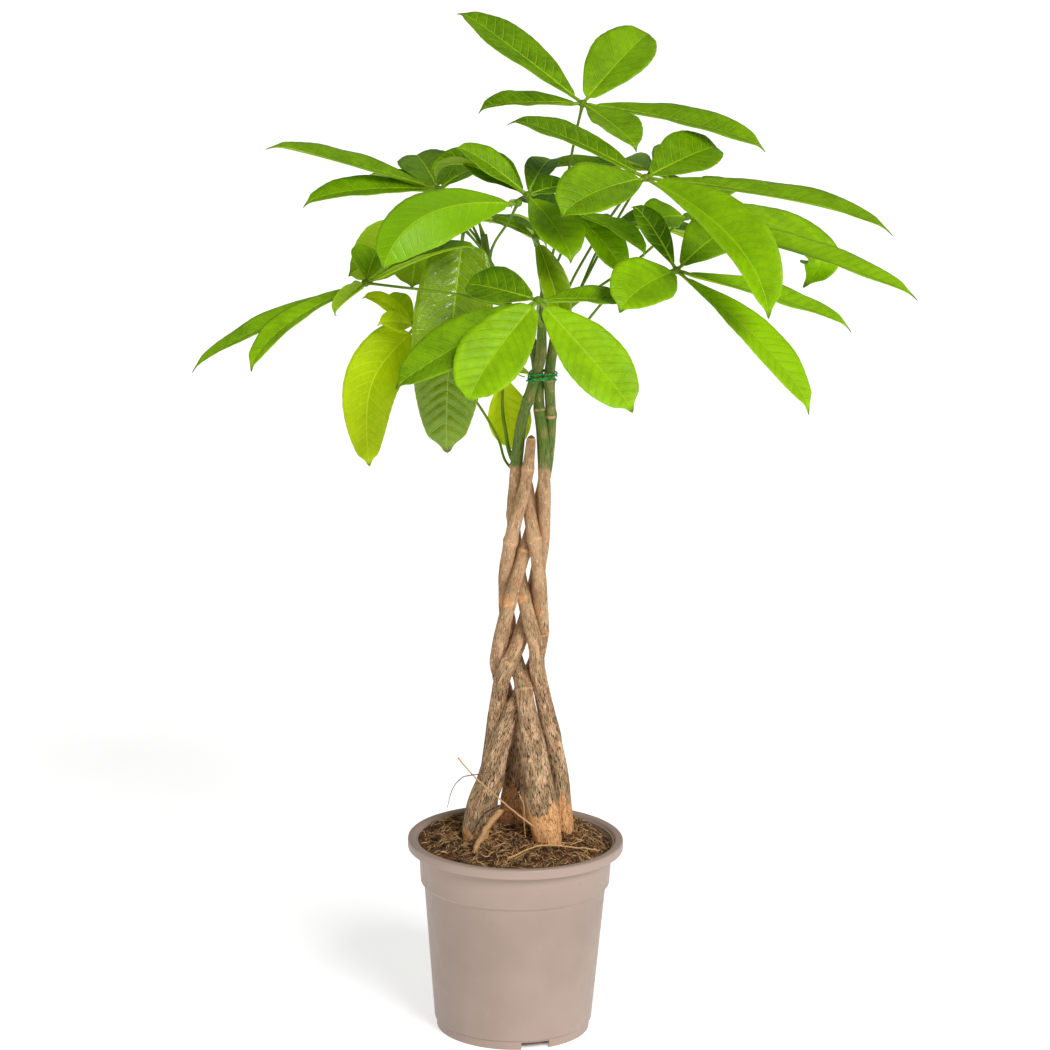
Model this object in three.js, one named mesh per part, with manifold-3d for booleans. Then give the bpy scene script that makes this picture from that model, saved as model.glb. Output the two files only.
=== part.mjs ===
// Money tree in a nursery pot: five braided stems, a bright tie and eighteen palmate leaves.
// Millimetres, +Z up. The origin is the centre of the pot's underside, and the front looks along +Y.

import * as THREE from "three";
import { mergeVertices } from "three/addons/utils/BufferGeometryUtils.js";
import Module from "manifold-3d";

const wasm = await Module();
wasm.setup();

// Clearance between neighbouring pieces
const GAP = 0.3;

// Pot: outside
const POT_SIDES = 38;
const POT_HEIGHT = 156;
const RIM_RADIUS = 85;
const RIM_DEPTH = 7.6;
const RIM_INNER_RADIUS = 78.8;
const COLLAR_TOP_RADIUS = 76.7;
const COLLAR_FOOT_RADIUS = 74.6;
const STEP_HEIGHT = 119.6;
const BODY_TOP_RADIUS = 71.8;
const BODY_FOOT_RADIUS = 62.4;
const FOOT_BAND = 7.2;
const FOOT_TOP_RADIUS = 60.9;
const FOOT_RADIUS = 60.5;
const FOOT_INNER_RADIUS = 58.2;
const EDGE = 0.8;

// Pot: inside and underside
const WALL = 1.6;
const FLOOR_UNDERSIDE = 6;
const FLOOR_TOP = 9;
const CENTRE_FOOT_RADIUS = 15;
const NOTCHES = 3;
const NOTCH_WIDTH = 23;
const NOTCH_REACH = 20;
const NOTCH_TURN = THREE.MathUtils.degToRad(-72.5);
const DRAIN_HOLES = 6;
const DRAIN_RADIUS = 5;
const DRAIN_CIRCLE = 36;

// Soil
const SOIL_EDGE = 153.5;
const SOIL_CROWN = 7;
const SOIL_RINGS = [14, 30, 46, 57, 66];
const SOIL_SIDES = 34;
const SOIL_LUMP = 2.2;

// Stems: each is braided between these heights
const STEM_SIDES = 7;
const STEM_STEP = 14;
const BRAID_FOOT = 312;
const BRAID_HEAD = 440;
const BRAID_STEP = 18;
const BRAID_PITCH = 345;
const BRAID_START = 408;
const BRAID_SPREAD = [[BRAID_FOOT, 17], [350, 14.4], [417, 13], [BRAID_HEAD, 12.6]];
const BRAID_DEPTH = [[BRAID_FOOT, 12], [350, 11], [BRAID_HEAD, 10.2]];
const BRAID_MIDDLE = [[BRAID_FOOT, 2], [350, 2.5], [417, 6], [BRAID_HEAD, 8]];
const STEM_FOOT = 78;

// Tie
const TIE_HEIGHT = 527;
const TIE_RADIUS = 1;
const TIE_SLACK = 0.6;
const TIE_TURNS = 2.75;
const TIE_WIDTH = 8;
const TIE_STEPS = 33;

// Leaves
const BLADE_THICKNESS = 0.9;
const STALK_WIDTH = 2.6;
const STALK_THICKNESS = 2.2;
const HUB_RADIUS = 3.8;
const STALK_ROOT = 1.8;
const PETIOLE_SIDES = 5;
const PETIOLE_STEPS = 6;
const PETIOLE_GIRTH = [[0, 2.4], [0.35, 1.5]];

// Leaflets: places along the rib, from 0 at the hub to 1 at the tip
const LEAFLET_STATIONS = [0, 0.07, 0.22, 0.43, 0.65, 0.87, 1];
const TIP_WIDTH = 0.8;
const BOW_NEAR = { along: 0.35, lift: 0.9 };
const BOW_FAR_LIFT = 1.6;
const PLAIN_LEAFLET = { over: 0.75, widest: 0.58, fullness: 0.85, fold: 16 };

// Stems, from the root up. feet: where it stands in the soil. phase: its turn in the braid, in degrees.
// crown: the points above the braid. girth: [height, radius] pairs.
const STEMS = [
  {
    name: "stem_right",
    phase: 216,
    feet: [
      [30, 9, STEM_FOOT], [38, 5, 150], [37.5, 4, 168], [35.5, 2, 190], [32, 0, 216], [27, -2, 240],
      [22, -4, 262], [17, -6.5, 285], [15, -9, 296],
    ],
    crown: [
      [-1.1, 0.6, 482], [1.6, -2.6, 497], [5.7, -5, 512], [9.8, -5.5, 527], [14, -5, 543],
      [14.4, -3.6, 560], [15, -2, 580], [17, 0, 604],
    ],
    girth: [
      [78, 5], [150, 8], [190, 7.8], [240, 7.2], [285, 6.2], [350, 5.3], [400, 5], [470, 4.7],
      [500, 4.2], [528, 4.1], [604, 3.4],
    ],
  },
  {
    name: "stem_front",
    phase: 144,
    feet: [
      [20, -20, STEM_FOOT], [26, -22, 150], [24, -22, 168], [19.5, -21, 190], [15.5, -19, 216],
      [12, -17, 240], [7.5, -14, 262], [3.4, -6, 285], [-1, 3, 296],
    ],
    crown: [[6, -6.6, 461], [7.4, -7.4, 474], [7.9, -7.4, 482]],
    girth: [
      [78, 7], [150, 10], [166, 11.2], [184, 13.2], [200, 12], [216, 11], [240, 9.4], [262, 7.6], [285, 6.5],
      [350, 5.4], [440, 4.9], [461, 4.3], [474, 3.6], [482, 2.9],
    ],
  },
  {
    name: "stem_left",
    phase: -72,
    feet: [
      [-25, -14, STEM_FOOT], [-31, -14, 150], [-30.5, -15, 168], [-27.5, -15, 187], [-20.4, -14, 207],
      [-15.8, -12, 228], [-11.4, -9, 240], [-2.2, -1.3, 262], [8.5, 8.8, 285], [13.5, 11, 296],
    ],
    crown: [[-0.5, 14, 449], [-7, 16.5, 457]],
    girth: [
      [78, 6], [150, 9.5], [172, 11.4], [190, 11.2], [207, 10.2], [230, 8.8], [250, 7.2], [285, 6.2],
      [350, 5.4], [457, 4.8],
    ],
  },
  {
    name: "stem_back_left",
    phase: 0,
    feet: [
      [-22, 20, STEM_FOOT], [-24, 17, 150], [-23.5, 16, 168], [-22, 14, 190], [-19.8, 11, 216],
      [-17.7, 7.5, 240], [-15.4, 3, 262], [-12.6, -4.6, 285], [-9, -8.2, 296],
    ],
    crown: [
      [15.9, 0.8, 482], [13.9, 2.4, 497], [12.7, 4.2, 511], [12.2, 4.8, 527], [7, 9, 551],
      [-4, 8, 570], [-14, 4, 584], [-21, 2, 598], [-27, 0, 614], [-31, 0, 636],
    ],
    girth: [
      [78, 5], [150, 8.6], [190, 8.2], [240, 7.2], [285, 6.2], [350, 5.3], [400, 5], [470, 4.7],
      [500, 4.2], [528, 4.1], [584, 3.7], [636, 2.8],
    ],
  },
  {
    name: "stem_back",
    phase: 72,
    feet: [
      [0, 22, STEM_FOOT], [-2.5, 25, 150], [-2.5, 24, 168], [-2, 22, 190], [-2.5, 19, 216],
      [-4.5, 17, 240], [-8, 15, 262], [-13.5, 10.5, 285], [-16.2, 5, 296],
    ],
    crown: [
      [22.2, 9, 482], [22.4, 6.5, 497], [21.6, 2.5, 511], [20.9, -0.5, 527], [23.5, 0, 551],
      [28.5, 1, 578], [32, 2, 592],
    ],
    girth: [
      [78, 8], [150, 13], [166, 12], [184, 9.8], [216, 8], [240, 7.2], [285, 6.2], [350, 5.3], [400, 5],
      [470, 4.7], [500, 4.2], [528, 4.1], [592, 3.4],
    ],
  },
];

// Leaves. stem and height: where the leaf stalk grows. route: the stalk's way to the hub.
// leaflets: [tip, width, arch, lean]. arch is how far the rib bows up, as a share of its length.
// lean turns the blade's face from the sky, at 0 degrees, towards the front, at 90 degrees.
// over pushes the bow out towards or past the tip, for a blade that curls under.
// widest is where along the rib the blade is widest, and a low fullness gives it a rounder outline.
// fold is how far each half rises from the rib, in degrees.
const LEAVES = [
  {
    name: "leaf_top",
    stem: "stem_right",
    height: 598,
    route: [[24, 6, 631], [31, 14, 672], [38, 20, 711]],
    hub: [43, 25, 734],
    leaflets: [
      [[-54, 75, 798], 40, 0.02, 22],
      [[95, 85, 783], 50, 0.03, 40, { fullness: 0.7 }],
      [[-37, 10, 730], 32, 0.05, 15],
      [[84, -30, 708], 38, 0.04, 10],
      [[184, 15, 703], 40, 0.04, 15],
    ],
  },
  {
    name: "leaf_upper_right",
    stem: "stem_back",
    height: 588,
    route: [[42, 28, 606], [62, 42, 638], [84, 6, 676]],
    hub: [90, -50, 689],
    leaflets: [
      [[-14, -10, 725], 36, 0.05, 13],
      [[148, 20, 704], 43, 0.03, 50, { fullness: 0.72 }],
      [[275, -75, 655], 38, 0.045, 11],
      [[180, -140, 600], 52, 0.15, 30, { fullness: 0.75, fold: 34 }],
      [[27, -105, 668], 52, 0.08, 40, { fullness: 0.7 }],
    ],
  },
  {
    name: "leaf_far_right",
    stem: "stem_back",
    height: 574,
    route: [[52, 16, 590], [84, 22, 612], [108, 22, 634]],
    hub: [124, 20, 649],
    leaflets: [
      [[302, -5, 594], 40, 0.02, 12],
      [[216, 50, 592], 44, 0.3, 30, { over: 1.25, fullness: 0.65, fold: 5 }],
      [[90, -15, 647], 32, 0.08, 50],
      [[68, 50, 634], 24, 0.08, 20],
      [[169, 95, 662], 36, 0.08, 20],
    ],
  },
  {
    name: "leaf_right",
    stem: "stem_back",
    height: 552,
    route: [[46, -22, 572], [62, -40, 594], [90, -58, 616]],
    hub: [114, -65, 622],
    leaflets: [
      [[214, -125, 527], 40, 0.07, 10],
      [[248, -60, 579], 34, 0.03, 14],
      [[71, -125, 602], 50, 0.08, 50, { fullness: 0.7 }],
      [[80, -45, 668], 22, 0.06, 40],
      [[168, 0, 646], 44, 0.08, 50],
    ],
  },
  {
    name: "leaf_front",
    stem: "stem_right",
    height: 566,
    route: [[11, -32, 581], [11, -66, 592], [11, -94, 601]],
    hub: [11, -110, 606],
    leaflets: [
      [[-94, -130, 543], 42, 0.02, 38, { fullness: 0.7 }],
      [[-39, -155, 538], 52, 0.06, 50, { fullness: 0.62, fold: 10 }],
      [[82, -150, 532], 48, 0.02, 45, { fullness: 0.65, fold: 12 }],
      [[87, -95, 602], 32, 0.03, 15],
      [[-44, -75, 611], 36, 0.03, 45, { fullness: 0.7 }],
    ],
  },
  {
    name: "leaf_centre",
    stem: "stem_right",
    height: 590,
    route: [[11, -8, 612], [8, -14, 640]],
    hub: [2, -20, 670],
    leaflets: [
      [[36, -75, 629], 42, 0.08, 15],
      [[-50, 20, 693], 34, 0.05, 35],
      [[-69, 14, 672], 28, 0.25, 20, { over: 1, fold: 45 }],
      [[-53, -25, 707], 28, 0.05, 30],
      [[21, 50, 687], 26, 0.08, 15],
      [[36, 2, 672], 24, 0.08, 30],
    ],
  },
  {
    name: "leaf_bright",
    stem: "stem_back_left",
    height: 616,
    route: [[-22, -20, 634], [-12, -35, 652]],
    hub: [-5, -45, 668],
    leaflets: [
      [[-104, -110, 626], 50, 0.2, 48, { fullness: 0.75, fold: -14 }],
      [[-46, -15, 648], 24, 0.08, -30],
    ],
  },
  {
    name: "leaf_left_upper",
    stem: "stem_back_left",
    height: 632,
    route: [[-38, 22, 648], [-52, 42, 656]],
    hub: [-67, 60, 661],
    leaflets: [
      [[-198, 30, 698], 36, 0.02, 13],
      [[-170, 15, 655], 30, 0.06, 24],
      [[-88, 130, 678], 46, 0.05, 30, { widest: 0.5 }],
      [[-129, 95, 662], 28, 0.08, 5],
      [[-35, 100, 671], 24, 0.08, 20],
    ],
  },
  {
    name: "leaf_left",
    stem: "stem_back_left",
    height: 580,
    route: [[-20, -40, 590], [-50, -52, 599], [-72, -48, 601], [-97, -34, 601]],
    hub: [-120, -20, 601],
    leaflets: [
      [[-252, -40, 536], 29, 0.03, 13],
      [[-205, -75, 543], 27, 0.1, 8, { fullness: 0.65 }],
      [[-112, 6, 622], 38, 0.06, 30, { fold: 34 }],
      [[-34, -55, 636], 32, 0.06, 10],
      [[-143, -55, 582], 32, 0.06, -50],
    ],
  },
  {
    name: "leaf_left_inner",
    stem: "stem_back_left",
    height: 624,
    route: [[-46, 22, 640], [-62, 32, 645]],
    hub: [-80, 40, 641],
    leaflets: [
      [[-136, 14, 601], 46, -0.04, -70, { widest: 0.5 }],
      [[-86, 22, 590], 44, 0.02, -70],
      [[-88, 98, 634], 30, 0.08, 20],
    ],
  },
  {
    name: "leaf_hanging",
    stem: "stem_back_left",
    height: 592,
    route: [[-22, -12, 612], [-36, -15, 632]],
    hub: [-46, -15, 643],
    leaflets: [
      [[-56, -40, 473], 61, 0.06, 80, { widest: 0.42, fullness: 0.5, fold: 10 }],
      [[-84, -4, 620], 26, 0.06, 20],
    ],
  },
  {
    name: "leaf_yellow",
    stem: "stem_left",
    height: 442,
    route: [[-12, 20, 455], [-17.5, 17.5, 472], [-33, 14, 500], [-57, 13, 530]],
    hub: [-83, 15, 562],
    leaflets: [
      [[-117, 0, 453], 48, 0.18, 75, { over: 0.4, widest: 0.34, fullness: 0.6 }],
      [[-124, 10, 585], 16, 0.1, 40],
      [[-106, 40, 582], 20, 0.06, 40],
      [[-110, -10, 568], 18, 0.06, 60],
    ],
  },
  {
    name: "leaf_shoot",
    stem: "stem_left",
    height: 452,
    route: [[-9.4, 13.5, 465], [-12.3, 13.5, 480], [-14.9, 15, 497]],
    hub: [-15, 22, 524],
    leaflets: [
      [[-7, 28, 462], 34, 0.02, 75, { fullness: 0.7, fold: 6 }],
      [[-38, 62, 500], 32, 0.1, 30],
      [[8, 62, 512], 28, 0.1, 30],
    ],
  },
  {
    name: "leaf_inner",
    stem: "stem_right",
    height: 584,
    route: [[22, 10, 604], [32, 20, 630]],
    hub: [36, 22, 652],
    leaflets: [
      [[77, 2, 606], 30, 0.06, 30],
      [[94, 5, 621], 30, 0.08, 10],
      [[44, 95, 655], 38, 0.08, 10],
      [[-12, 62, 650], 32, 0.08, 10],
    ],
  },
  {
    name: "leaf_back",
    stem: "stem_back",
    height: 566,
    route: [[46, 30, 594], [66, 52, 630], [86, 70, 662]],
    hub: [99, 80, 676],
    leaflets: [
      [[2, 80, 670], 22, 0.08, 12],
      [[128, 50, 660], 28, 0.06, -20],
      [[138, 160, 671], 42, 0.1, 0],
      [[62, 160, 660], 40, 0.1, 0],
    ],
  },
  {
    name: "leaf_rolled",
    stem: "stem_right",
    height: 578,
    route: [[18, -20, 600], [13, -27, 620]],
    hub: [9, -29, 639],
    leaflets: [
      [[30, -42, 567], 34, 0.05, 60, { widest: 0.5, fold: 50 }],
      [[-27, -14, 650], 14, 0.05, 20],
    ],
  },
  {
    name: "leaf_back_left",
    stem: "stem_back_left",
    height: 604,
    route: [[-32, 36, 620], [-42, 78, 632]],
    hub: [-50, 115, 632],
    leaflets: [
      [[-112, 172, 600], 42, 0.1, 0],
      [[-55, 205, 608], 44, 0.1, 0],
      [[10, 178, 600], 42, 0.1, 0],
      [[-128, 112, 596], 40, 0.1, 0],
      [[20, 112, 608], 38, 0.1, 0],
    ],
  },
  {
    name: "leaf_back_right",
    stem: "stem_back",
    height: 558,
    route: [[44, 44, 588], [58, 84, 612]],
    hub: [75, 120, 625],
    leaflets: [
      [[22, 190, 602], 42, 0.1, 0],
      [[82, 212, 600], 44, 0.1, 0],
      [[140, 180, 596], 42, 0.1, 0],
      [[153, 112, 607], 38, 0.1, 0],
    ],
  },
];

const COLOURS = {
  pot: { color: "#b9a495", roughness: 0.55 },
  soil: { color: "#4a2f1c", roughness: 1 },
  stem: { color: "#8f7152", roughness: 0.85 },
  leaf: { color: "#6aa514", roughness: 0.5 },
  tie: { color: "#0b8a2c", roughness: 0.4 },
};

// Helpers

function seededRandom(seed) {
  let state = seed;
  return () => {
    state = (state * 1664525 + 1013904223) % 4294967296;
    return state / 4294967296;
  };
}

function vector(point) {
  return new THREE.Vector3(point[0], point[1], point[2]);
}

// A number read off [place, value] pairs, straight between them
function readOff(pairs, place) {
  const next = pairs.findIndex((pair) => pair[0] >= place);
  if (next === -1) {
    return pairs[pairs.length - 1][1];
  }
  if (next === 0) {
    return pairs[0][1];
  }
  const [low, high] = [pairs[next - 1], pairs[next]];
  const share = (place - low[0]) / (high[0] - low[0]);
  return low[1] + (high[1] - low[1]) * share;
}

function geometryOf(points, faces) {
  const geometry = new THREE.BufferGeometry();
  const places = points.flatMap((p) => [p.x, p.y, p.z]);
  geometry.setAttribute("position", new THREE.Float32BufferAttribute(places, 3));
  geometry.setIndex(faces);
  return geometry;
}

function solidOf(source) {
  const bare = source.clone();
  bare.deleteAttribute("normal");
  bare.deleteAttribute("uv");
  const merged = mergeVertices(bare, 1e-4);
  const mesh = new wasm.Mesh({
    numProp: 3,
    vertProperties: new Float32Array(merged.attributes.position.array),
    triVerts: new Uint32Array(merged.index.array),
  });
  return new wasm.Manifold(mesh);
}

function geometryFrom(solid) {
  const mesh = solid.getMesh();
  const geometry = new THREE.BufferGeometry();
  geometry.setAttribute("position", new THREE.BufferAttribute(mesh.vertProperties, 3));
  geometry.setIndex(new THREE.BufferAttribute(mesh.triVerts, 1));
  return geometry;
}

function joined(solids) {
  return solids.reduce((whole, solid) => whole.add(solid));
}

// A round tube along a curve, with its radius as a function of the place along it
function tube(curve, radiusAt, sides, steps) {
  const points = [];
  const faces = [];
  const frames = curve.computeFrenetFrames(steps, false);
  for (let i = 0; i <= steps; i += 1) {
    const centre = curve.getPointAt(i / steps);
    const radius = radiusAt(centre, i / steps);
    for (let j = 0; j < sides; j += 1) {
      const turn = (j / sides) * Math.PI * 2;
      const across = frames.normals[i].clone().multiplyScalar(Math.cos(turn) * radius);
      const up = frames.binormals[i].clone().multiplyScalar(Math.sin(turn) * radius);
      points.push(centre.clone().add(across).add(up));
    }
  }
  for (let i = 0; i < steps; i += 1) {
    for (let j = 0; j < sides; j += 1) {
      const a = i * sides + j;
      const b = i * sides + ((j + 1) % sides);
      faces.push(a, b, b + sides, a, b + sides, a + sides);
    }
  }
  const first = points.length;
  points.push(curve.getPointAt(0), curve.getPointAt(1));
  for (let j = 0; j < sides; j += 1) {
    const k = (j + 1) % sides;
    const last = steps * sides;
    faces.push(first, k, j, first + 1, last + j, last + k);
  }
  return geometryOf(points, faces);
}

function lathe(outline, sides) {
  const points = outline.map(([radius, height]) => new THREE.Vector2(radius, height));
  const geometry = new THREE.LatheGeometry(points, sides);
  geometry.rotateX(Math.PI / 2);
  return geometry;
}

// Pot

function innerWallRadius(height) {
  const outside = [
    [FLOOR_TOP, BODY_FOOT_RADIUS],
    [STEP_HEIGHT - WALL, BODY_TOP_RADIUS],
    [STEP_HEIGHT + WALL, COLLAR_FOOT_RADIUS],
    [POT_HEIGHT - RIM_DEPTH, COLLAR_TOP_RADIUS],
    [POT_HEIGHT, RIM_INNER_RADIUS + WALL],
  ];
  return readOff(outside, height) - WALL;
}

function potSolid() {
  const underRim = POT_HEIGHT - RIM_DEPTH;
  const outline = [
    [0, 0],
    [CENTRE_FOOT_RADIUS, 0],
    [CENTRE_FOOT_RADIUS, FLOOR_UNDERSIDE],
    [FOOT_INNER_RADIUS, FLOOR_UNDERSIDE],
    [FOOT_INNER_RADIUS, 0],
    [FOOT_RADIUS, 0],
    [FOOT_TOP_RADIUS, FOOT_BAND],
    [BODY_FOOT_RADIUS, FOOT_BAND + EDGE],
    [BODY_TOP_RADIUS, STEP_HEIGHT - EDGE],
    [COLLAR_FOOT_RADIUS - EDGE, STEP_HEIGHT],
    [COLLAR_FOOT_RADIUS, STEP_HEIGHT + EDGE],
    [COLLAR_TOP_RADIUS, POT_HEIGHT - WALL - EDGE],
    [RIM_RADIUS - WALL, POT_HEIGHT - WALL],
    [RIM_RADIUS - WALL, underRim],
    [RIM_RADIUS, underRim],
    [RIM_RADIUS, POT_HEIGHT - EDGE],
    [RIM_RADIUS - EDGE, POT_HEIGHT],
    [RIM_INNER_RADIUS, POT_HEIGHT],
    [innerWallRadius(underRim), underRim],
    [innerWallRadius(STEP_HEIGHT + WALL), STEP_HEIGHT + WALL],
    [innerWallRadius(STEP_HEIGHT - WALL), STEP_HEIGHT - WALL],
    [innerWallRadius(FLOOR_TOP), FLOOR_TOP],
    [0, FLOOR_TOP],
  ];
  let pot = solidOf(lathe(outline, POT_SIDES));
  for (let i = 0; i < NOTCHES; i += 1) {
    const notch = new THREE.BoxGeometry(NOTCH_REACH, NOTCH_WIDTH, 2 * FLOOR_UNDERSIDE);
    notch.translate(FOOT_RADIUS, 0, 0);
    notch.rotateZ(NOTCH_TURN + (i / NOTCHES) * Math.PI * 2);
    pot = pot.subtract(solidOf(notch));
  }
  for (let i = 0; i < DRAIN_HOLES; i += 1) {
    const hole = new THREE.CylinderGeometry(DRAIN_RADIUS, DRAIN_RADIUS, 4 * FLOOR_TOP, 12);
    hole.rotateX(Math.PI / 2);
    hole.translate(DRAIN_CIRCLE, 0, 0);
    hole.rotateZ((i / DRAIN_HOLES) * Math.PI * 2);
    pot = pot.subtract(solidOf(hole));
  }
  return pot;
}

// Stems

function braidPoint(stem, height) {
  const spread = readOff(BRAID_SPREAD, height);
  const depth = readOff(BRAID_DEPTH, height);
  const middle = readOff(BRAID_MIDDLE, height);
  const degrees = 90 + stem.phase + ((BRAID_START - height) / BRAID_PITCH) * 360;
  const turn = THREE.MathUtils.degToRad(degrees);
  return new THREE.Vector3(middle + spread * Math.sin(turn), -depth * Math.sin(2 * turn), height);
}

function stemCurve(stem) {
  const points = stem.feet.map(vector);
  for (let height = BRAID_FOOT; height <= BRAID_HEAD; height += BRAID_STEP) {
    points.push(braidPoint(stem, height));
  }
  points.push(...stem.crown.map(vector));
  return new THREE.CatmullRomCurve3(points, false, "centripetal");
}

function stemSolid(stem, extra) {
  const curve = stemCurve(stem);
  const steps = Math.round(curve.getLength() / STEM_STEP);
  const radiusAt = (centre) => readOff(stem.girth, centre.z) + extra;
  return solidOf(tube(curve, radiusAt, STEM_SIDES, steps));
}

// The point at a height on a curve that rises all the way
function curvePoint(curve, height) {
  let low = 0;
  let high = 1;
  for (let i = 0; i < 30; i += 1) {
    const middle = (low + high) / 2;
    if (curve.getPointAt(middle).z < height) {
      low = middle;
    } else {
      high = middle;
    }
  }
  return curve.getPointAt(low);
}

// Soil

function soilSolid(stems) {
  const random = seededRandom(7);
  const points = [new THREE.Vector3(0, 0, SOIL_EDGE + SOIL_CROWN)];
  const edgeRadius = innerWallRadius(SOIL_EDGE) - GAP;
  const rings = [...SOIL_RINGS, edgeRadius];
  const underRim = POT_HEIGHT - RIM_DEPTH;
  const levels = [underRim, STEP_HEIGHT + WALL, STEP_HEIGHT - WALL, FLOOR_TOP + GAP];
  const faces = [];
  const addRing = (radiusAt, heightAt) => {
    for (let j = 0; j < SOIL_SIDES; j += 1) {
      const turn = (j / SOIL_SIDES) * Math.PI * 2;
      const radius = radiusAt();
      points.push(new THREE.Vector3(Math.cos(turn) * radius, Math.sin(turn) * radius, heightAt()));
    }
  };
  rings.forEach((radius) => {
    const share = radius / edgeRadius;
    const level = SOIL_EDGE + SOIL_CROWN * (1 - share * share);
    const lump = radius === edgeRadius ? 0 : SOIL_LUMP;
    addRing(() => radius, () => level + lump * (random() * 2 - 1));
  });
  levels.forEach((level) => addRing(() => innerWallRadius(level) - GAP, () => level));
  const ringCount = rings.length + levels.length;
  for (let j = 0; j < SOIL_SIDES; j += 1) {
    const k = (j + 1) % SOIL_SIDES;
    faces.push(0, 1 + j, 1 + k);
    for (let i = 0; i < ringCount - 1; i += 1) {
      const a = 1 + i * SOIL_SIDES + j;
      const b = 1 + i * SOIL_SIDES + k;
      faces.push(a, a + SOIL_SIDES, b + SOIL_SIDES, a, b + SOIL_SIDES, b);
    }
    const last = 1 + (ringCount - 1) * SOIL_SIDES;
    faces.push(points.length, last + k, last + j);
  }
  points.push(new THREE.Vector3(0, 0, FLOOR_TOP + GAP));
  const soil = solidOf(geometryOf(points, faces));
  return stems.reduce((rest, stem) => rest.subtract(stemSolid(stem, GAP)), soil);
}

// Tie: turns of wire drawn round the green stems, as a band lies round a bunch of rods

function tieSolid(stems) {
  const rods = stems
    .filter((stem) => stem.girth[stem.girth.length - 1][0] > TIE_HEIGHT)
    .map((stem) => ({ curve: stemCurve(stem), radius: readOff(stem.girth, TIE_HEIGHT) }));
  const points = [];
  for (let i = 0; i <= TIE_STEPS; i += 1) {
    const turn = (i / TIE_STEPS) * TIE_TURNS * Math.PI * 2;
    const out = new THREE.Vector3(Math.cos(turn), Math.sin(turn), 0);
    const height = TIE_HEIGHT + (i / TIE_STEPS - 0.5) * TIE_WIDTH;
    const centres = rods.map((rod) => curvePoint(rod.curve, height));
    const reach = rods.map((rod, k) => centres[k].dot(out) + rod.radius);
    const outermost = reach.indexOf(Math.max(...reach));
    const offset = rods[outermost].radius + TIE_RADIUS + TIE_SLACK;
    points.push(centres[outermost].addScaledVector(out, offset).setZ(height));
  }
  const curve = new THREE.CatmullRomCurve3(points, false, "centripetal");
  return solidOf(tube(curve, () => TIE_RADIUS, 4, Math.round(1.5 * TIE_STEPS)));
}

// Leaves

function bladeWidth(place, width, widest, fullness) {
  const swell = Math.sin(Math.PI * place ** (Math.log(0.5) / Math.log(widest)));
  return Math.max(TIP_WIDTH, width * Math.max(0, swell) ** fullness);
}

function leafletSolid(hub, leaflet) {
  const [tipPoint, width, arch, lean, options = {}] = leaflet;
  const { over, widest, fullness, fold } = { ...PLAIN_LEAFLET, ...options };
  const tip = vector(tipPoint);
  const chord = tip.clone().sub(hub);
  const length = chord.length();
  const side = chord.clone().cross(new THREE.Vector3(0, 0, 1)).normalize();
  const lift = side.clone().cross(chord).normalize().multiplyScalar(arch * length);
  const root = hub.clone().addScaledVector(chord, STALK_ROOT / length);
  const spine = new THREE.CubicBezierCurve3(
    root,
    hub.clone().addScaledVector(chord, BOW_NEAR.along).addScaledVector(lift, BOW_NEAR.lift),
    hub.clone().addScaledVector(chord, over).addScaledVector(lift, BOW_FAR_LIFT),
    tip,
  );
  const turn = THREE.MathUtils.degToRad(lean);
  const facing = new THREE.Vector3(0, -Math.sin(turn), Math.cos(turn));
  const points = [];
  LEAFLET_STATIONS.forEach((place, i) => {
    const centre = spine.getPointAt(place);
    const along = spine.getTangentAt(place);
    const normal = facing.clone().addScaledVector(along, -facing.dot(along)).normalize();
    const across = along.clone().cross(normal);
    const isStalk = i < 2;
    const half = (isStalk ? STALK_WIDTH : bladeWidth(place, width, widest, fullness)) / 2;
    const rise = isStalk ? 0 : THREE.MathUtils.degToRad(fold);
    const thick = (isStalk ? STALK_THICKNESS : BLADE_THICKNESS) / 2;
    [thick, -thick].forEach((offset) => {
      [-1, 0, 1].forEach((edge) => {
        const point = centre.clone();
        point.addScaledVector(across, edge * half * Math.cos(rise));
        point.addScaledVector(normal, Math.abs(edge) * half * Math.sin(rise) + offset);
        points.push(point);
      });
    });
  });
  return solidOf(geometryOf(points, bladeFaces(LEAFLET_STATIONS.length)));
}

// Faces of a blade with six points a station: left, rib, right on top, then the same below.
// Both faces are split along the same diagonals.
function bladeFaces(stations) {
  const faces = [];
  const quad = (a, b, c, d) => faces.push(a, b, c, a, c, d);
  for (let i = 0; i < stations - 1; i += 1) {
    const s = i * 6;
    const n = s + 6;
    quad(s, s + 1, n + 1, n);
    quad(n + 1, s + 1, s + 2, n + 2);
    quad(s + 3, n + 3, n + 4, s + 4);
    faces.push(n + 4, n + 5, s + 5, n + 4, s + 5, s + 4);
    quad(s, n, n + 3, s + 3);
    quad(s + 2, s + 5, n + 5, n + 2);
  }
  const e = (stations - 1) * 6;
  quad(0, 3, 4, 1);
  quad(1, 4, 5, 2);
  quad(e, e + 1, e + 4, e + 3);
  quad(e + 1, e + 2, e + 5, e + 4);
  return faces;
}

function leafSolid(leaf, stems) {
  const hub = vector(leaf.hub);
  const stem = stems.find((one) => one.name === leaf.stem);
  const points = [curvePoint(stemCurve(stem), leaf.height), ...leaf.route.map(vector), hub];
  const stalk = new THREE.CatmullRomCurve3(points, false, "centripetal");
  const radiusAt = (centre, share) => readOff(PETIOLE_GIRTH, share);
  const knuckle = new THREE.IcosahedronGeometry(HUB_RADIUS).translate(hub.x, hub.y, hub.z);
  const pieces = [
    solidOf(tube(stalk, radiusAt, PETIOLE_SIDES, PETIOLE_STEPS)),
    solidOf(knuckle),
    ...leaf.leaflets.map((leaflet) => leafletSolid(hub, leaflet)),
  ];
  return joined(pieces).subtract(stemSolid(stem, GAP));
}

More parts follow.
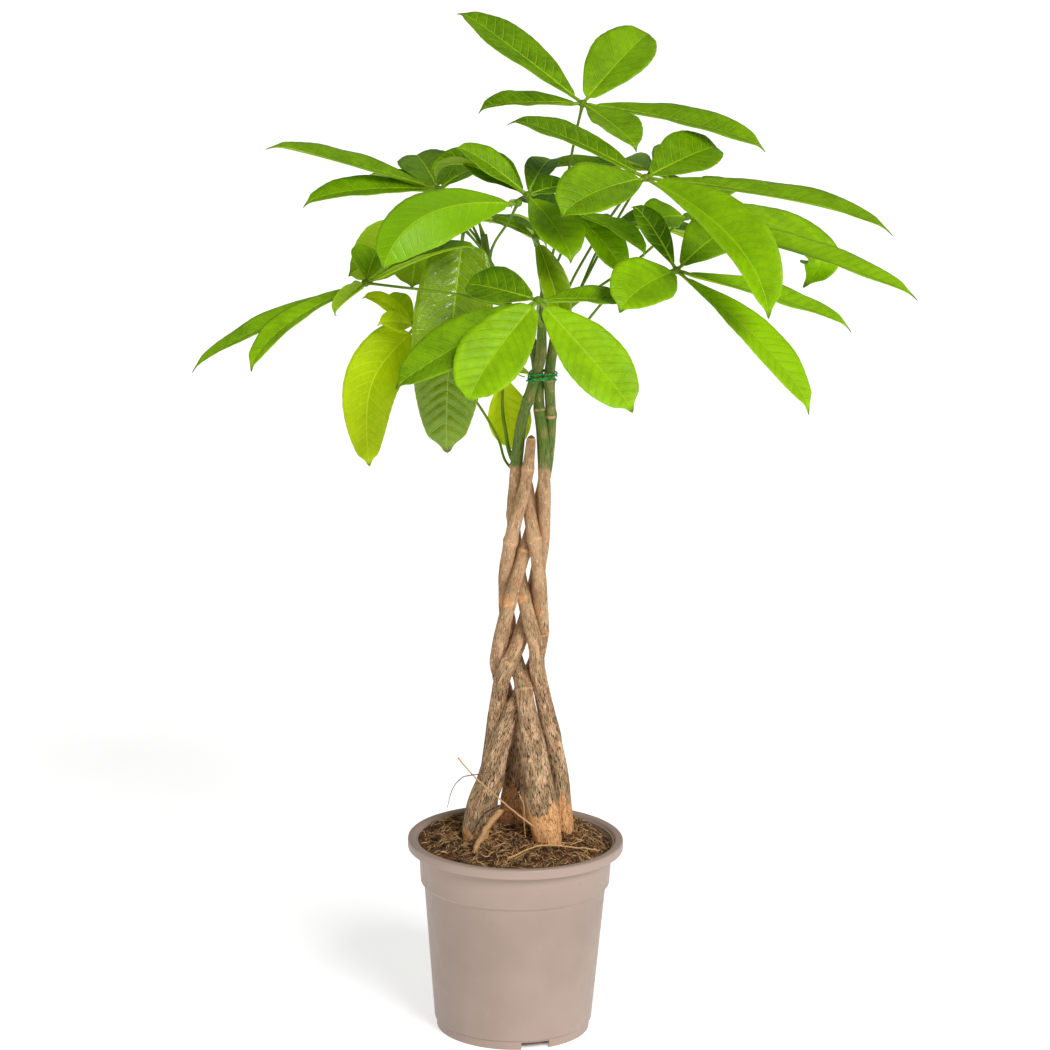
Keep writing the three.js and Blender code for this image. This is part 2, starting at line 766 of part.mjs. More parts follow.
// The whole plant

function addPiece(group, name, solid, look) {
  const material = new THREE.MeshStandardMaterial({ ...COLOURS[look], metalness: 0 });
  const mesh = new THREE.Mesh(geometryFrom(solid), material);
  mesh.name = name;
  group.add(mesh);
}

const moneyTree = new THREE.Group();
addPiece(moneyTree, "pot", potSolid(), "pot");
addPiece(moneyTree, "soil", soilSolid(STEMS), "soil");
STEMS.forEach((stem) => addPiece(moneyTree, stem.name, stemSolid(stem, 0), "stem"));
addPiece(moneyTree, "tie", tieSolid(STEMS), "tie");
LEAVES.forEach((leaf) => addPiece(moneyTree, leaf.name, leafSolid(leaf, STEMS), "leaf"));

export default moneyTree;
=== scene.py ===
"""Looks of a potted money tree: braided stems, palmate leaves, lumpy soil and a moulded pot."""

import itertools
import math

import bpy
import numpy as np
from mathutils import Matrix, Vector


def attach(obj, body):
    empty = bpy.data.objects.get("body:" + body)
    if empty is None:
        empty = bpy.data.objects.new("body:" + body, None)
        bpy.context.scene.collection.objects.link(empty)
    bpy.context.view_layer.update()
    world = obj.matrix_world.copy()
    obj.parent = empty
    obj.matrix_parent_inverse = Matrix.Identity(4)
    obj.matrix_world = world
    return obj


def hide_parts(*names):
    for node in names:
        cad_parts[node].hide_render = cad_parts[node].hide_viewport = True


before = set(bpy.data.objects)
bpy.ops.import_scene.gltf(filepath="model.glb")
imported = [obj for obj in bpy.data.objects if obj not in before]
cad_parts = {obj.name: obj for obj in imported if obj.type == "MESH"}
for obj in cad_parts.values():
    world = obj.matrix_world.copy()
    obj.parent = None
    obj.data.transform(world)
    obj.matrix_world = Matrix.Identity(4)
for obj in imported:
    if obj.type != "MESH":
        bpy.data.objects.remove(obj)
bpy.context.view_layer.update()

# Sizes are in millimetres and turned into metres when a mesh is made
MM = 0.001

# Camera, in millimetres and degrees, for a square picture 1050 pixels wide
CAMERA_PLACE = (3.8, -3000, 1131)
CAMERA_PITCH = -13.53
CAMERA_ROLL = 0.85
FOCAL_PIXELS = 3982
PICTURE_WIDTH = 1050
SENSOR_WIDTH = 36

# Pot
POT_SIDES = 192
POT_HEIGHT = 156
RIM_RADIUS = 85
RIM_DEPTH = 7.6
RIM_INNER_RADIUS = 78.8
COLLAR_TOP_RADIUS = 76.7
COLLAR_FOOT_RADIUS = 74.6
STEP_HEIGHT = 119.6
BODY_TOP_RADIUS = 71.8
BODY_FOOT_RADIUS = 62.4
FOOT_BAND = 7.2
# Width of the painted shade line in the crease at the top of the foot band
FOOT_SHADE_LINE = 0.9
FOOT_TOP_RADIUS = 60.9
FOOT_RADIUS = 60.5
FOOT_INNER_RADIUS = 58.2
EDGE = 0.8
WALL = 1.6
FLOOR_UNDERSIDE = 6
FLOOR_TOP = 9
CENTRE_FOOT_RADIUS = 15
NOTCHES = 3
NOTCH_WIDTH = 23
NOTCH_REACH = 20
NOTCH_TURN = -72.5
DRAIN_HOLES = 6
DRAIN_RADIUS = 5
DRAIN_CIRCLE = 36
CORNER_ROUND = 0.5
STEP_ROUND = 1.0
COLLAR_ROUND = 0.9
RIM_ROUND = 1.8
RIM_INNER_ROUND = 1.6
MOST_ROUND = 0.45
ROUND_STEPS = 4
SHARP_ANGLE = 38

# Soil
SOIL_EDGE = 153.5
SOIL_CROWN = 7
SOIL_SIDES = 360
SOIL_RINGS = 64
SOIL_GAP = 0.3
SOIL_GRAIN = 1.2

# Stems
STEM_SIDES = 44
STEM_STEP = 1.4
STEM_FOOT = 120
GREEN_EDGE = 2
KNUCKLE_REACH = 3.2
SCAR_REACH = 1.5
BARK_AGES = (420, 230)
RUST_RAGGED = 14
CUT_DOME = 4
BRAID_FOOT = 312
BRAID_HEAD = 440
BRAID_STEP = 18
BRAID_PITCH = 345
BRAID_START = 408
BRAID_SPREAD = [(BRAID_FOOT, 17), (350, 14.4), (417, 13), (BRAID_HEAD, 12.6)]
BRAID_DEPTH = [(BRAID_FOOT, 12), (350, 11), (BRAID_HEAD, 10.2)]
BRAID_MIDDLE = [(BRAID_FOOT, 2), (350, 2.5), (417, 6), (BRAID_HEAD, 8)]

# Tie
TIE_HEIGHT = 527
TIE_RADIUS = 0.6
TIE_SLACK = 0.5
TIE_TURNS = 3.75
TIE_SWING = 0.72
TIE_WIDTH = 6
TIE_STEPS = 45
TIE_ROWS = 420
TIE_SIDES = 10
TIE_END_RADIUS = 0.48
TIE_END_ROWS = 40

# Leaflets
BLADE_ROWS = 92
BLADE_COLUMNS = 9
COLUMN_CROWDING = 1.25
BLADE_START = 0.035
BLADE_FOOT = 0.05
BLADE_SINK = 0.03
BLADE_TWIST = 7
RIB_THICKNESS = 0.8
MARGIN_THICKNESS = 0.4
RIB_RADIUS = 1.25
RIB_END = 0.97
RIB_ROWS = 34
HUB_RADIUS = 3.2
HUB_ROWS = 12
HUB_SIDES = 16
STALK_RADIUS = 1.05
STALK_FOOT = {"leaf_shoot": 1.8}
STALK_ROOT = 1.8
STALK_STEPS = 14
STALK_ROWS = 64
STALK_SIDES = 14
TIP_WIDTH = 0.5
BOW_NEAR = (0.35, 0.9)
BOW_LIFT = 1.6
SPINE_STEPS = 240
FOLD_SPREAD = 0.22
VEIN_SPACING = 8.5
VEIN_SLANT = 0.55
VEIN_CURVE = 0.012
VEIN_STAGGER = 0.22
STAGGER_WIDTH = 0.06
VEIN_RELIEF = 0.65
VEIN_JITTER = 0.22
VEIN_SEED = 71
MARGIN_WAVE = 0.8
RIPPLES = (1, 2, 3.3)
RIPPLE_COUNT = 1.3
SCALLOP = 0.006
TIP_HOOK = 3.5
HOOK_PLACE = 0.9
TONE_JITTER = 0.08

# A leaflet's form: where its arch ends and it is widest, how full, how folded in degrees, how quilted
LEAFLET_FORM = {"over": 0.75, "widest": 0.58, "fullness": 0.85, "fold": 16, "relief": 1}

# Colours, as linear red, green and blue
POT_DEEP = (0.36, 0.265, 0.215)
POT_LIGHT = (0.41, 0.305, 0.25)
POT_PALE = (0.5, 0.365, 0.305)
POT_DUST_AND_SHADE = (0.27, 0.19, 0.145)
SOIL_BLACK = (0.018, 0.008, 0.004)
SOIL_BROWN = (0.15, 0.06, 0.02)
SOIL_GOLD = (0.6, 0.34, 0.12)
SOIL_TAN = (0.42, 0.22, 0.08)
FIBRE_DARK = (0.13, 0.05, 0.016)
FIBRE_PALE = (1.0, 0.62, 0.27)
ROOT_DARK = (0.05, 0.028, 0.018)
ROOT_PALE = (0.74, 0.42, 0.18)
BARK_CRACK = (0.045, 0.024, 0.01)
BARK_DARK = (0.34, 0.185, 0.095)
BARK_MID = (0.5, 0.285, 0.15)
BARK_PALE = (0.78, 0.5, 0.29)
BARK_OLIVE = (0.3, 0.23, 0.115)
BARK_FLECK = (0.95, 0.74, 0.46)
RUST_DARK = (0.42, 0.17, 0.055)
RUST_LIGHT = (0.86, 0.39, 0.14)
RUST_PALE = (1.0, 0.56, 0.25)
STEM_GREEN = (0.17, 0.25, 0.03)
STEM_GREEN_DEEP = (0.06, 0.12, 0.012)
SCAR_DARK = (0.16, 0.08, 0.035)
SCAR_PALE = (0.86, 0.5, 0.26)
TIE_DEEP = (0.0, 0.09, 0.015)
TIE_LIGHT = (0.0, 0.5, 0.07)
STALK_GREEN = (0.11, 0.24, 0.008)
STALK_TAN = (0.2, 0.3, 0.015)
TIP_DARK = (0.035, 0.05, 0.008)
FLOOR_COLOUR = (0.9, 0.9, 0.9)

# Leaf materials: the top's light and deep greens, the underside and the veins; then the roughness,
# the gloss and how dark the painted shade in the creases beside the veins is
LEAF_MATERIALS = {
    "mid": ((0.33, 0.64, 0.0003), (0.06, 0.155, 0.0003), (0.26, 0.42, 0.004), (0.42, 0.66, 0.02),
            0.36, 0.16, 0.42),
    "young": ((0.66, 0.84, 0.0003), (0.3, 0.46, 0.0003), (0.6, 0.74, 0.004), (0.7, 0.84, 0.03),
              0.4, 0.12, 0.2),
    "bright": ((0.24, 0.52, 0.0003), (0.13, 0.33, 0.0003), (0.3, 0.48, 0.004), (0.42, 0.66, 0.02),
               0.26, 0.2, 0.2),
    "dark": ((0.3, 0.47, 0.0005), (0.06, 0.15, 0.0003), (0.28, 0.42, 0.004), (0.42, 0.6, 0.03),
             0.17, 0.5, 0.6),
}
LEAF_LOOKS = {
    "leaf_bright": ("bright", "leaf_young"),
    "leaf_yellow": ("young", "leaf_young"),
    "leaf_shoot": ("young", "leaf_young"),
    "leaf_hanging": ("dark", "leaf_dark"),
    "leaf_rolled": ("dark", "leaf_dark"),
}

# Litter on the soil, and where the soil has settled away from the wall, in degrees round the pot
STREWN_MARGIN = 2.2
FOOT_CLEARANCE = 9
FIBRES = 2200
FIBRE_LENGTH = (3, 15)
FIBRE_RADIUS = (0.12, 0.42)
FIBRE_BEND = 0.6
FIBRE_LIFT = (0.1, 1.6)
FIBRE_TILT = (-2, 3)
FIBRE_MARGIN = 1.2
FIBRE_ROWS = 6
FIBRE_SIDES = 4
CRUMBS = 560
CRUMB_SIZE = (0.6, 1.7)
CRUMB_STRETCH = (0.45, 1.6)
CRUMB_ROWS = 6
ROOT_ROWS = 72
SETTLED_TURN = -8
SETTLED_DEPTH = 7

# Noise, and lines and tubes
NOISE_PRIMES = (374761393, 668265263, 2147483647)
NOISE_SEED_STEP = 974634777
NOISE_MIXER = 1274126177
NOISE_LEVELS = 65535
STEEP = 0.8
THIN_SIDES = 8

# Floor and light; the floor's size is in metres
FLOOR_SIZE = 60
WORLD_COLOUR = (1, 1, 1)
WORLD_STRENGTH = 0.25
FLOOR_GLOW = 0.61
SHADE_RADIUS = 48
KEY_DIRECTION = (1.12, -2.0, 1.56)
KEY_STRENGTH = 2.0
KEY_SPREAD = 24

# Stems, from the root up. green: the height where the bark turns green. rust: where the peeling foot ends.
# nodes: heights of the leaf scars, with their size. cut: the swelling under a cut top.
# girth: the radius at a height, the same for the tall stems over the braid's foot.
TALL_GIRTH = [(285, 6.2), (350, 5.3), (400, 5), (470, 4.7), (500, 4.2), (528, 4.1)]
STEMS = {
    "stem_right": {
        "phase": 216, "green": 456, "rust": 182,
        "nodes": [(352, 0.5), (415, 0.7), (509, 0.9)],
        "feet": [
            (30, 9, STEM_FOOT), (38, 5, 150), (37.5, 4, 168), (35.5, 2, 190), (32, 0, 216), (27, -2, 240),
            (22, -4, 262), (17, -6.5, 285), (15, -9, 296)],
        "crown": [
            (-1.1, 0.6, 482), (1.6, -2.6, 497), (5.7, -5, 512), (9.8, -5.5, 527), (14, -5, 543),
            (14.4, -3.6, 560), (15, -2, 580), (17, 0, 604)],
        "girth": [(78, 5), (150, 8), (190, 7.8), (240, 7.2), *TALL_GIRTH, (604, 3.4)],
    },
    "stem_front": {
        "phase": 144, "green": 900, "rust": 182, "cut": 0.4,
        "nodes": [(279, 0.7), (330, 0.5), (398, 0.8), (455, 0.7)],
        "feet": [
            (20, -20, STEM_FOOT), (26, -22, 150), (24, -22, 168), (19.5, -21, 190), (15.5, -19, 216),
            (12, -17, 240), (7.5, -14, 262), (3.4, -6, 285), (-1, 3, 296)],
        "crown": [(6, -6.6, 461), (7.4, -7.4, 474), (7.9, -7.4, 482)],
        "girth": [
            (78, 7), (150, 10), (166, 11.2), (184, 13.2), (200, 12), (216, 11), (240, 9.4), (262, 7.6),
            (285, 6.5), (350, 5.4), (440, 4.9), (461, 4.3), (474, 3.6), (482, 2.9)],
    },
    "stem_left": {
        "phase": -72, "green": 900, "rust": 168, "cut": 0.6,
        "nodes": [(262, 0.8), (322, 0.6), (400, 0.6)],
        "feet": [
            (-25, -14, STEM_FOOT), (-31, -14, 150), (-30.5, -15, 168), (-27.5, -15, 187), (-20.4, -14, 207),
            (-15.8, -12, 228), (-11.4, -9, 240), (-2.2, -1.3, 262), (8.5, 8.8, 285), (13.5, 11, 296)],
        "crown": [(-0.5, 14, 449), (-7, 16.5, 457)],
        "girth": [
            (78, 6), (150, 9.5), (172, 11.4), (190, 11.2), (207, 10.2), (230, 8.8), (250, 7.2), (285, 6.2),
            (350, 5.4), (457, 4.8)],
    },
    "stem_back_left": {
        "phase": 0, "green": 455, "rust": 166,
        "nodes": [(300, 0.6), (372, 0.5), (500, 0.5), (548, 0.7)],
        "feet": [
            (-22, 20, STEM_FOOT), (-24, 17, 150), (-23.5, 16, 168), (-22, 14, 190), (-19.8, 11, 216),
            (-17.7, 7.5, 240), (-15.4, 3, 262), (-12.6, -4.6, 285), (-9, -8.2, 296)],
        "crown": [
            (15.9, 0.8, 482), (13.9, 2.4, 497), (12.7, 4.2, 511), (12.2, 4.8, 527), (7, 9, 551),
            (-4, 8, 570), (-14, 4, 584), (-21, 2, 598), (-27, 0, 614), (-31, 0, 636)],
        "girth": [(78, 5), (150, 8.6), (190, 8.2), (240, 7.2), *TALL_GIRTH, (584, 3.7), (636, 2.8)],
    },
    "stem_back": {
        "phase": 72, "green": 450, "rust": 186,
        "nodes": [(284, 0.6), (388, 0.8), (412, 0.6), (495, 0.9), (524, 0.8)],
        "feet": [
            (0, 22, STEM_FOOT), (-2.5, 25, 150), (-2.5, 24, 168), (-2, 22, 190), (-2.5, 19, 216),
            (-4.5, 17, 240), (-8, 15, 262), (-13.5, 10.5, 285), (-16.2, 5, 296)],
        "crown": [
            (22.2, 9, 482), (22.4, 6.5, 497), (21.6, 2.5, 511), (20.9, -0.5, 527), (23.5, 0, 551),
            (28.5, 1, 578), (32, 2, 592)],
        "girth": [(78, 8), (150, 13), (166, 12), (184, 9.8), (216, 8), (240, 7.2), *TALL_GIRTH, (592, 3.4)],
    },
}

# Leaves: stem, height on it, route of the stalk, hub and leaflets.
# A leaflet is its tip, width, arch, lean and tone, and what differs from LEAFLET_FORM. Lean is in
# degrees, and arch and tone are in percent.
# A leaflet's tone is partly its own green, and partly painted shade for leaflets in shadow and painted light
# for leaflets lit from behind.
LEAVES = {
    "leaf_top": ("stem_right", 598, [(24, 6, 631), (31, 14, 672), (38, 20, 711)], (43, 25, 734), [
        ((-54, 75, 798), 40, 2, 22, -35),
        ((95, 85, 783), 50, 3, 40, 10, {"fullness": 0.7}),
        ((-37, 10, 730), 32, 5, 15, -55),
        ((84, -30, 708), 38, 4, 10, -15),
        ((184, 15, 703), 40, 4, 15, 0)]),
    "leaf_upper_right": ("stem_back", 588, [(42, 28, 606), (62, 42, 638), (84, 6, 676)], (90, -50, 689), [
        ((-14, -10, 725), 36, 5, 13, -50),
        ((148, 20, 704), 43, 3, 50, -20, {"fullness": 0.72}),
        ((275, -75, 655), 38, 4.5, 11, -5),
        ((180, -140, 600), 52, 15, 30, 45, {"fullness": 0.75, "fold": 34}),
        ((27, -105, 668), 52, 8, 40, -5, {"fullness": 0.7})]),
    "leaf_far_right": ("stem_back", 574, [(52, 16, 590), (84, 22, 612), (108, 22, 634)], (124, 20, 649), [
        ((302, -5, 594), 40, 2, 12, 70),
        ((216, 50, 592), 44, 30, 30, 40, {"over": 1.25, "fullness": 0.65, "fold": 5}),
        ((90, -15, 647), 32, 8, 50, 30),
        ((68, 50, 634), 24, 8, 20, -60),
        ((169, 95, 662), 36, 8, 20, 10)]),
    "leaf_right": ("stem_back", 552, [(46, -22, 572), (62, -40, 594), (90, -58, 616)], (114, -65, 622), [
        ((214, -125, 527), 40, 7, 10, 100, {"fold": 12}),
        ((248, -60, 579), 34, 3, 14, 50),
        ((71, -125, 602), 50, 8, 50, 55, {"fullness": 0.7}),
        ((80, -45, 668), 22, 6, 40, -90),
        ((168, 0, 646), 44, 8, 50, 0)]),
    "leaf_front": ("stem_right", 566, [(11, -32, 581), (11, -66, 592), (11, -94, 601)], (11, -110, 606), [
        ((-94, -130, 543), 42, 2, 38, 0, {"fullness": 0.7}),
        ((-39, -155, 538), 52, 6, 50, 70, {"fullness": 0.62, "fold": 10}),
        ((82, -150, 532), 48, 2, 45, 60, {"fullness": 0.65, "fold": 12}),
        ((87, -95, 602), 32, 3, 15, 0),
        ((-44, -75, 611), 36, 3, 45, -70, {"fullness": 0.7})]),
    "leaf_centre": ("stem_right", 590, [(11, -8, 612), (8, -14, 640)], (2, -20, 670), [
        ((36, -75, 629), 42, 8, 15, 25),
        ((-50, 20, 693), 34, 5, 35, -50),
        ((-69, 14, 672), 28, 25, 20, -30, {"over": 1, "fold": 45}),
        ((-53, -25, 707), 28, 5, 30, -20),
        ((21, 50, 687), 26, 8, 15, -60),
        ((36, 2, 672), 24, 8, 30, -70)]),
    "leaf_bright": ("stem_back_left", 616, [(-22, -20, 634), (-12, -35, 652)], (-5, -45, 668), [
        ((-104, -110, 626), 50, 20, 48, 60, {"fullness": 0.75, "fold": -14, "relief": 0.45}),
        ((-46, -15, 648), 24, 8, -30, 20)]),
    "leaf_left_upper": ("stem_back_left", 632, [(-38, 22, 648), (-52, 42, 656)], (-67, 60, 661), [
        ((-198, 30, 698), 36, 2, 13, 0),
        ((-170, 15, 655), 30, 6, 24, -35),
        ((-88, 130, 678), 46, 5, 30, -65, {"widest": 0.5}),
        ((-129, 95, 662), 28, 8, 5, -60),
        ((-35, 100, 671), 24, 8, 20, -50)]),
    "leaf_left": ("stem_back_left", 580,
        [(-20, -40, 590), (-50, -52, 599), (-72, -48, 601), (-97, -34, 601)], (-120, -20, 601), [
        ((-252, -40, 536), 29, 3, 13, 20),
        ((-205, -75, 543), 27, 10, 8, 30, {"fullness": 0.65}),
        ((-112, 6, 622), 38, 6, 30, 10, {"fold": 34}),
        ((-34, -55, 636), 32, 6, 10, -40),
        ((-143, -55, 582), 32, 6, -50, 50)]),
    "leaf_left_inner": ("stem_back_left", 624, [(-46, 22, 640), (-62, 32, 645)], (-80, 40, 641), [
        ((-136, 14, 601), 46, -4, -70, 50, {"widest": 0.5, "fold": 10}),
        ((-86, 22, 590), 44, 2, -70, 60),
        ((-88, 98, 634), 30, 8, 20, 10)]),
    "leaf_hanging": ("stem_back_left", 592, [(-22, -12, 612), (-36, -15, 632)], (-46, -15, 643), [
        ((-56, -40, 473), 61, 6, 80, 20, {"widest": 0.42, "fullness": 0.5, "fold": 10, "relief": 3.6}),
        ((-84, -4, 620), 26, 6, 20, 0)]),
    "leaf_yellow": ("stem_left", 442,
        [(-12, 20, 455), (-17.5, 17.5, 472), (-33, 14, 500), (-57, 13, 530)], (-83, 15, 562), [
        ((-117, 0, 453), 48, 18, 75, -10, {"over": 0.4, "widest": 0.34, "fullness": 0.6, "fold": 24}),
        ((-124, 10, 585), 16, 10, 40, 40),
        ((-106, 40, 582), 20, 6, 40, 20),
        ((-110, -10, 568), 18, 6, 60, 30)]),
    "leaf_shoot": ("stem_left", 452,
        [(-9.4, 13.5, 465), (-12.3, 13.5, 480), (-14.9, 15, 497)], (-15, 22, 524), [
        ((-7, 28, 462), 34, 2, 75, 100, {"fullness": 0.7, "fold": 6}),
        ((-38, 62, 500), 32, 10, 30, 30),
        ((8, 62, 512), 28, 10, 30, 50)]),
    "leaf_inner": ("stem_right", 584, [(22, 10, 604), (32, 20, 630)], (36, 22, 652), [
        ((77, 2, 606), 30, 6, 30, 30),
        ((94, 5, 621), 30, 8, 10, 10),
        ((44, 95, 655), 38, 8, 10, -40),
        ((-12, 62, 650), 32, 8, 10, -50)]),
    "leaf_back": ("stem_back", 566, [(46, 30, 594), (66, 52, 630), (86, 70, 662)], (99, 80, 676), [
        ((2, 80, 670), 22, 8, 12, -30),
        ((128, 50, 660), 28, 6, -20, -60),
        ((138, 160, 671), 42, 10, 0, -20),
        ((62, 160, 660), 40, 10, 0, -20)]),
    "leaf_rolled": ("stem_right", 578, [(18, -20, 600), (13, -27, 620)], (9, -29, 639), [
        ((30, -42, 567), 34, 5, 60, 60, {"widest": 0.5, "fold": 50}),
        ((-27, -14, 650), 14, 5, 20, -20)]),
    "leaf_back_left": ("stem_back_left", 604, [(-32, 36, 620), (-42, 78, 632)], (-50, 115, 632), [
        ((-112, 172, 600), 42, 10, 0, -10),
        ((-55, 205, 608), 44, 10, 0, 10),
        ((10, 178, 600), 42, 10, 0, -20),
        ((-128, 112, 596), 40, 10, 0, 0),
        ((20, 112, 608), 38, 10, 0, -10)]),
    "leaf_back_right": ("stem_back", 558, [(44, 44, 588), (58, 84, 612)], (75, 120, 625), [
        ((22, 190, 602), 42, 10, 0, 0),
        ((82, 212, 600), 44, 10, 0, -10),
        ((140, 180, 596), 42, 10, 0, 10),
        ((153, 112, 607), 38, 10, 0, -20)]),
}

# Loose roots and straw: points, girth at the start, girth at the tip as a share of it, tone
ROOTLETS = [
    ([(-45.7, -26, 227.8), (-33.8, -30, 215.4), (-15.7, -36, 200.7), (1.7, -40, 187), (14, -42, 178)],
     0.55, 1.2, 0.85),
    ([(-13.6, -27, 218), (-29.9, -30, 216.3), (-41.5, -33, 214.4), (-49.1, -38, 207.1), (-53.5, -45, 193)],
     0.6, 0.4, 0.25),
    ([(-34, -34, 168), (-24.8, -36, 185.9), (-13.2, -37, 192.6), (-2.4, -35, 196), (4, -33, 204)],
     0.8, 0.5, 0.0),
    ([(-6, -57, 156), (18.4, -46, 163.4), (51.1, -43, 161.3), (66, -38, 158)], 0.8, 0.6, 0.95),
    ([(-12, -30, 188), (-20, -37, 178), (-27, -44, 168), (-33, -50, 156)], 2.6, 0.8, 0.7),
    ([(2, -22, 200), (6, -27, 190), (6.5, -29, 178), (8, -33, 166)], 0.6, 0.5, 0.75),
]
TIE_ENDS = [
    [(12, -12.2, 526), (16, -13.6, 527.5), (21, -12.5, 526)],
    [(2, -10.5, 528), (-2.5, -12, 530), (-5, -11, 532.5)],
]


# Shapes

class Shape:
    """Points in millimetres, the faces between them, and named values at the points."""

    def __init__(self, *names):
        self.points = []
        self.faces = []
        self.values = {name: [] for name in names}
        self.count = 0

    def add(self, rings, ends=(), **values):
        """Closed rings of points, each joined to the next, and a fan from each end point to its ring.

        A value is one number, or one for each ring, or one for each ring and point.
        """
        rows, sides = rings.shape[:2]
        first = self.count + np.arange(rows)[:, None] * sides
        side = np.arange(sides)
        here, after = first + side, first + (side + 1) % sides
        quads = np.stack([here[:-1], after[:-1], after[1:], here[1:]], axis=-1)
        self.faces.extend(quads.reshape(-1, 4).tolist())
        self.points.append(rings.reshape(-1, 3))
        self.count += rows * sides
        if len(ends):
            fans = zip((self.count, self.count + 1), (after[0], here[-1]), (here[0], after[-1]))
            for middle, one, other in fans:
                self.faces.extend(np.stack([np.full(sides, middle), one, other], axis=-1).tolist())
            self.points.append(np.array(ends, float))
            self.count += 2
        for name, kept in self.values.items():
            value = np.asarray(values.get(name, 0.0), float)
            value = value[:, None] if value.ndim == 1 else value
            value = np.broadcast_to(value, (rows, sides, *value.shape[2:]))
            kept.append(value.reshape(rows * sides, *value.shape[2:]))
            if len(ends):
                kept.append(value[[0, -1]].mean(axis=1))

    def tube(self, line, radii, sides, **values):
        """A closed tube round a line; radii has a number for each point, or for each point and side."""
        radii = np.asarray(radii, float).reshape(len(line), -1, 1)
        across, up = turned_frames(line)
        x, y, _ = round_axis(1, 0, sides)[0].T[..., None]
        self.add(line[:, None] + (across[:, None] * x + up[:, None] * y) * radii, line[[0, -1]], **values)

    def piece(self, name, material, slot, *nodes):
        """The shape as a piece of the plant, which may stand for nodes of the frame."""
        mesh = bpy.data.meshes.new(name)
        mesh.from_pydata(np.concatenate(self.points) * MM, [], self.faces)
        mesh.shade_smooth()
        for key, kept in self.values.items():
            values = np.concatenate(kept)
            kind, field = ("FLOAT", "value") if values.ndim == 1 else ("FLOAT_VECTOR", "vector")
            mesh.attributes.new(key, kind, "POINT").data.foreach_set(field, values.ravel())
        mesh.materials.append(material)
        piece = bpy.data.objects.new(name, mesh)
        bpy.context.collection.objects.link(piece)
        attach(piece, "root")
        if nodes:
            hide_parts(*nodes)
        return piece


def read_off(pairs, place):
    """Numbers read off (place, value) pairs, straight between them."""
    return np.interp(place, *zip(*pairs))


def points_at(places, along, line):
    """Points of a line at some places, where along holds the place of each of its own points."""
    return np.stack([np.interp(places, along, line[:, k]) for k in range(3)], axis=-1)


def unit(vectors):
    return vectors / np.linalg.norm(vectors, axis=-1, keepdims=True)


def ease(low, high, value):
    """0 up to low, 1 from high, and smooth between them."""
    share = np.clip((value - low) / (high - low), 0, 1)
    return share * share * (3 - 2 * share)


def swelling(distance, reach):
    """1 at no distance, and falling off in a bell to either side."""
    return np.exp(-(distance / reach) ** 2)


def noise(points, seed, layers=1):
    """Smooth noise from -1 to 1 with one swing to a unit of length; each further layer is half the last."""
    total = 0
    for k in range(layers):
        cell = np.floor(points * 2 ** k).astype(np.int64)
        part = points * 2 ** k - cell
        part = part * part * (3 - 2 * part)
        for corner in itertools.product((0, 1), repeat=3):
            key = (cell + corner) @ np.array(NOISE_PRIMES) + (seed + k) * NOISE_SEED_STEP
            key = (key ^ (key >> 13)) * NOISE_MIXER
            value = ((key ^ (key >> 16)) & NOISE_LEVELS) / NOISE_LEVELS * 2 - 1
            total = total + value * np.prod(np.where(corner, part, 1 - part), axis=-1) / 2 ** k
    return total


def round_axis(radii, heights, sides):
    """Rings of points round the upright axis, one for each radius and height."""
    turn = np.arange(sides) / sides * 2 * math.pi
    radii, heights = np.reshape(radii, (-1, 1)), np.reshape(heights, (-1, 1))
    return np.stack(np.broadcast_arrays(radii * np.cos(turn), radii * np.sin(turn), heights), axis=-1)


def spaced(line, places):
    """Points on a line of points, at shares of its length, and that length."""
    steps = np.linalg.norm(np.diff(line, axis=0), axis=1)
    along = np.concatenate([[0], np.cumsum(steps)])
    return points_at(np.asarray(places) * along[-1], along, line), along[-1]


def smooth_line(points, steps=40):
    """A centripetal Catmull-Rom line through the points."""
    points = np.asarray(points, float)
    padded = np.vstack([2 * points[0] - points[1], points, 2 * points[-1] - points[-2]])
    line = []
    share = np.linspace(0, 1, steps, endpoint=False)[:, None]
    for a, b, c, d in zip(padded, padded[1:], padded[2:], padded[3:]):
        gaps = [math.sqrt(np.linalg.norm(q - p)) for p, q in ((a, b), (b, c), (c, d))]
        start = (b - a) / gaps[0] - (c - a) / (gaps[0] + gaps[1]) + (c - b) / gaps[1]
        end = (c - b) / gaps[1] - (d - b) / (gaps[1] + gaps[2]) + (d - c) / gaps[2]
        start, end = start * gaps[1], end * gaps[1]
        line.append(b + start * share + (3 * (c - b) - 2 * start - end) * share ** 2
                    + (2 * (b - c) + start + end) * share ** 3)
    return np.vstack([*line, points[-1:]])


def turned_frames(line):
    """Two directions square to a line and to each other, which turn as little as they can."""
    along = unit(np.gradient(line, axis=0))
    across = np.zeros_like(along)
    guess = np.eye(3)[0 if abs(along[0, 0]) < STEEP else 1]
    for i, direction in enumerate(along):
        guess = unit(guess - direction * (guess @ direction))
        across[i] = guess
    return across, np.cross(along, across)


# Materials

def feed(socket, value):
    """Link a value to a socket, or set the socket to a number or colour."""
    if isinstance(value, Value):
        value.tree.links.new(value.socket, socket)
    elif isinstance(value, tuple) and socket.type == "RGBA":
        socket.default_value = (*value, 1)
    else:
        socket.default_value = value


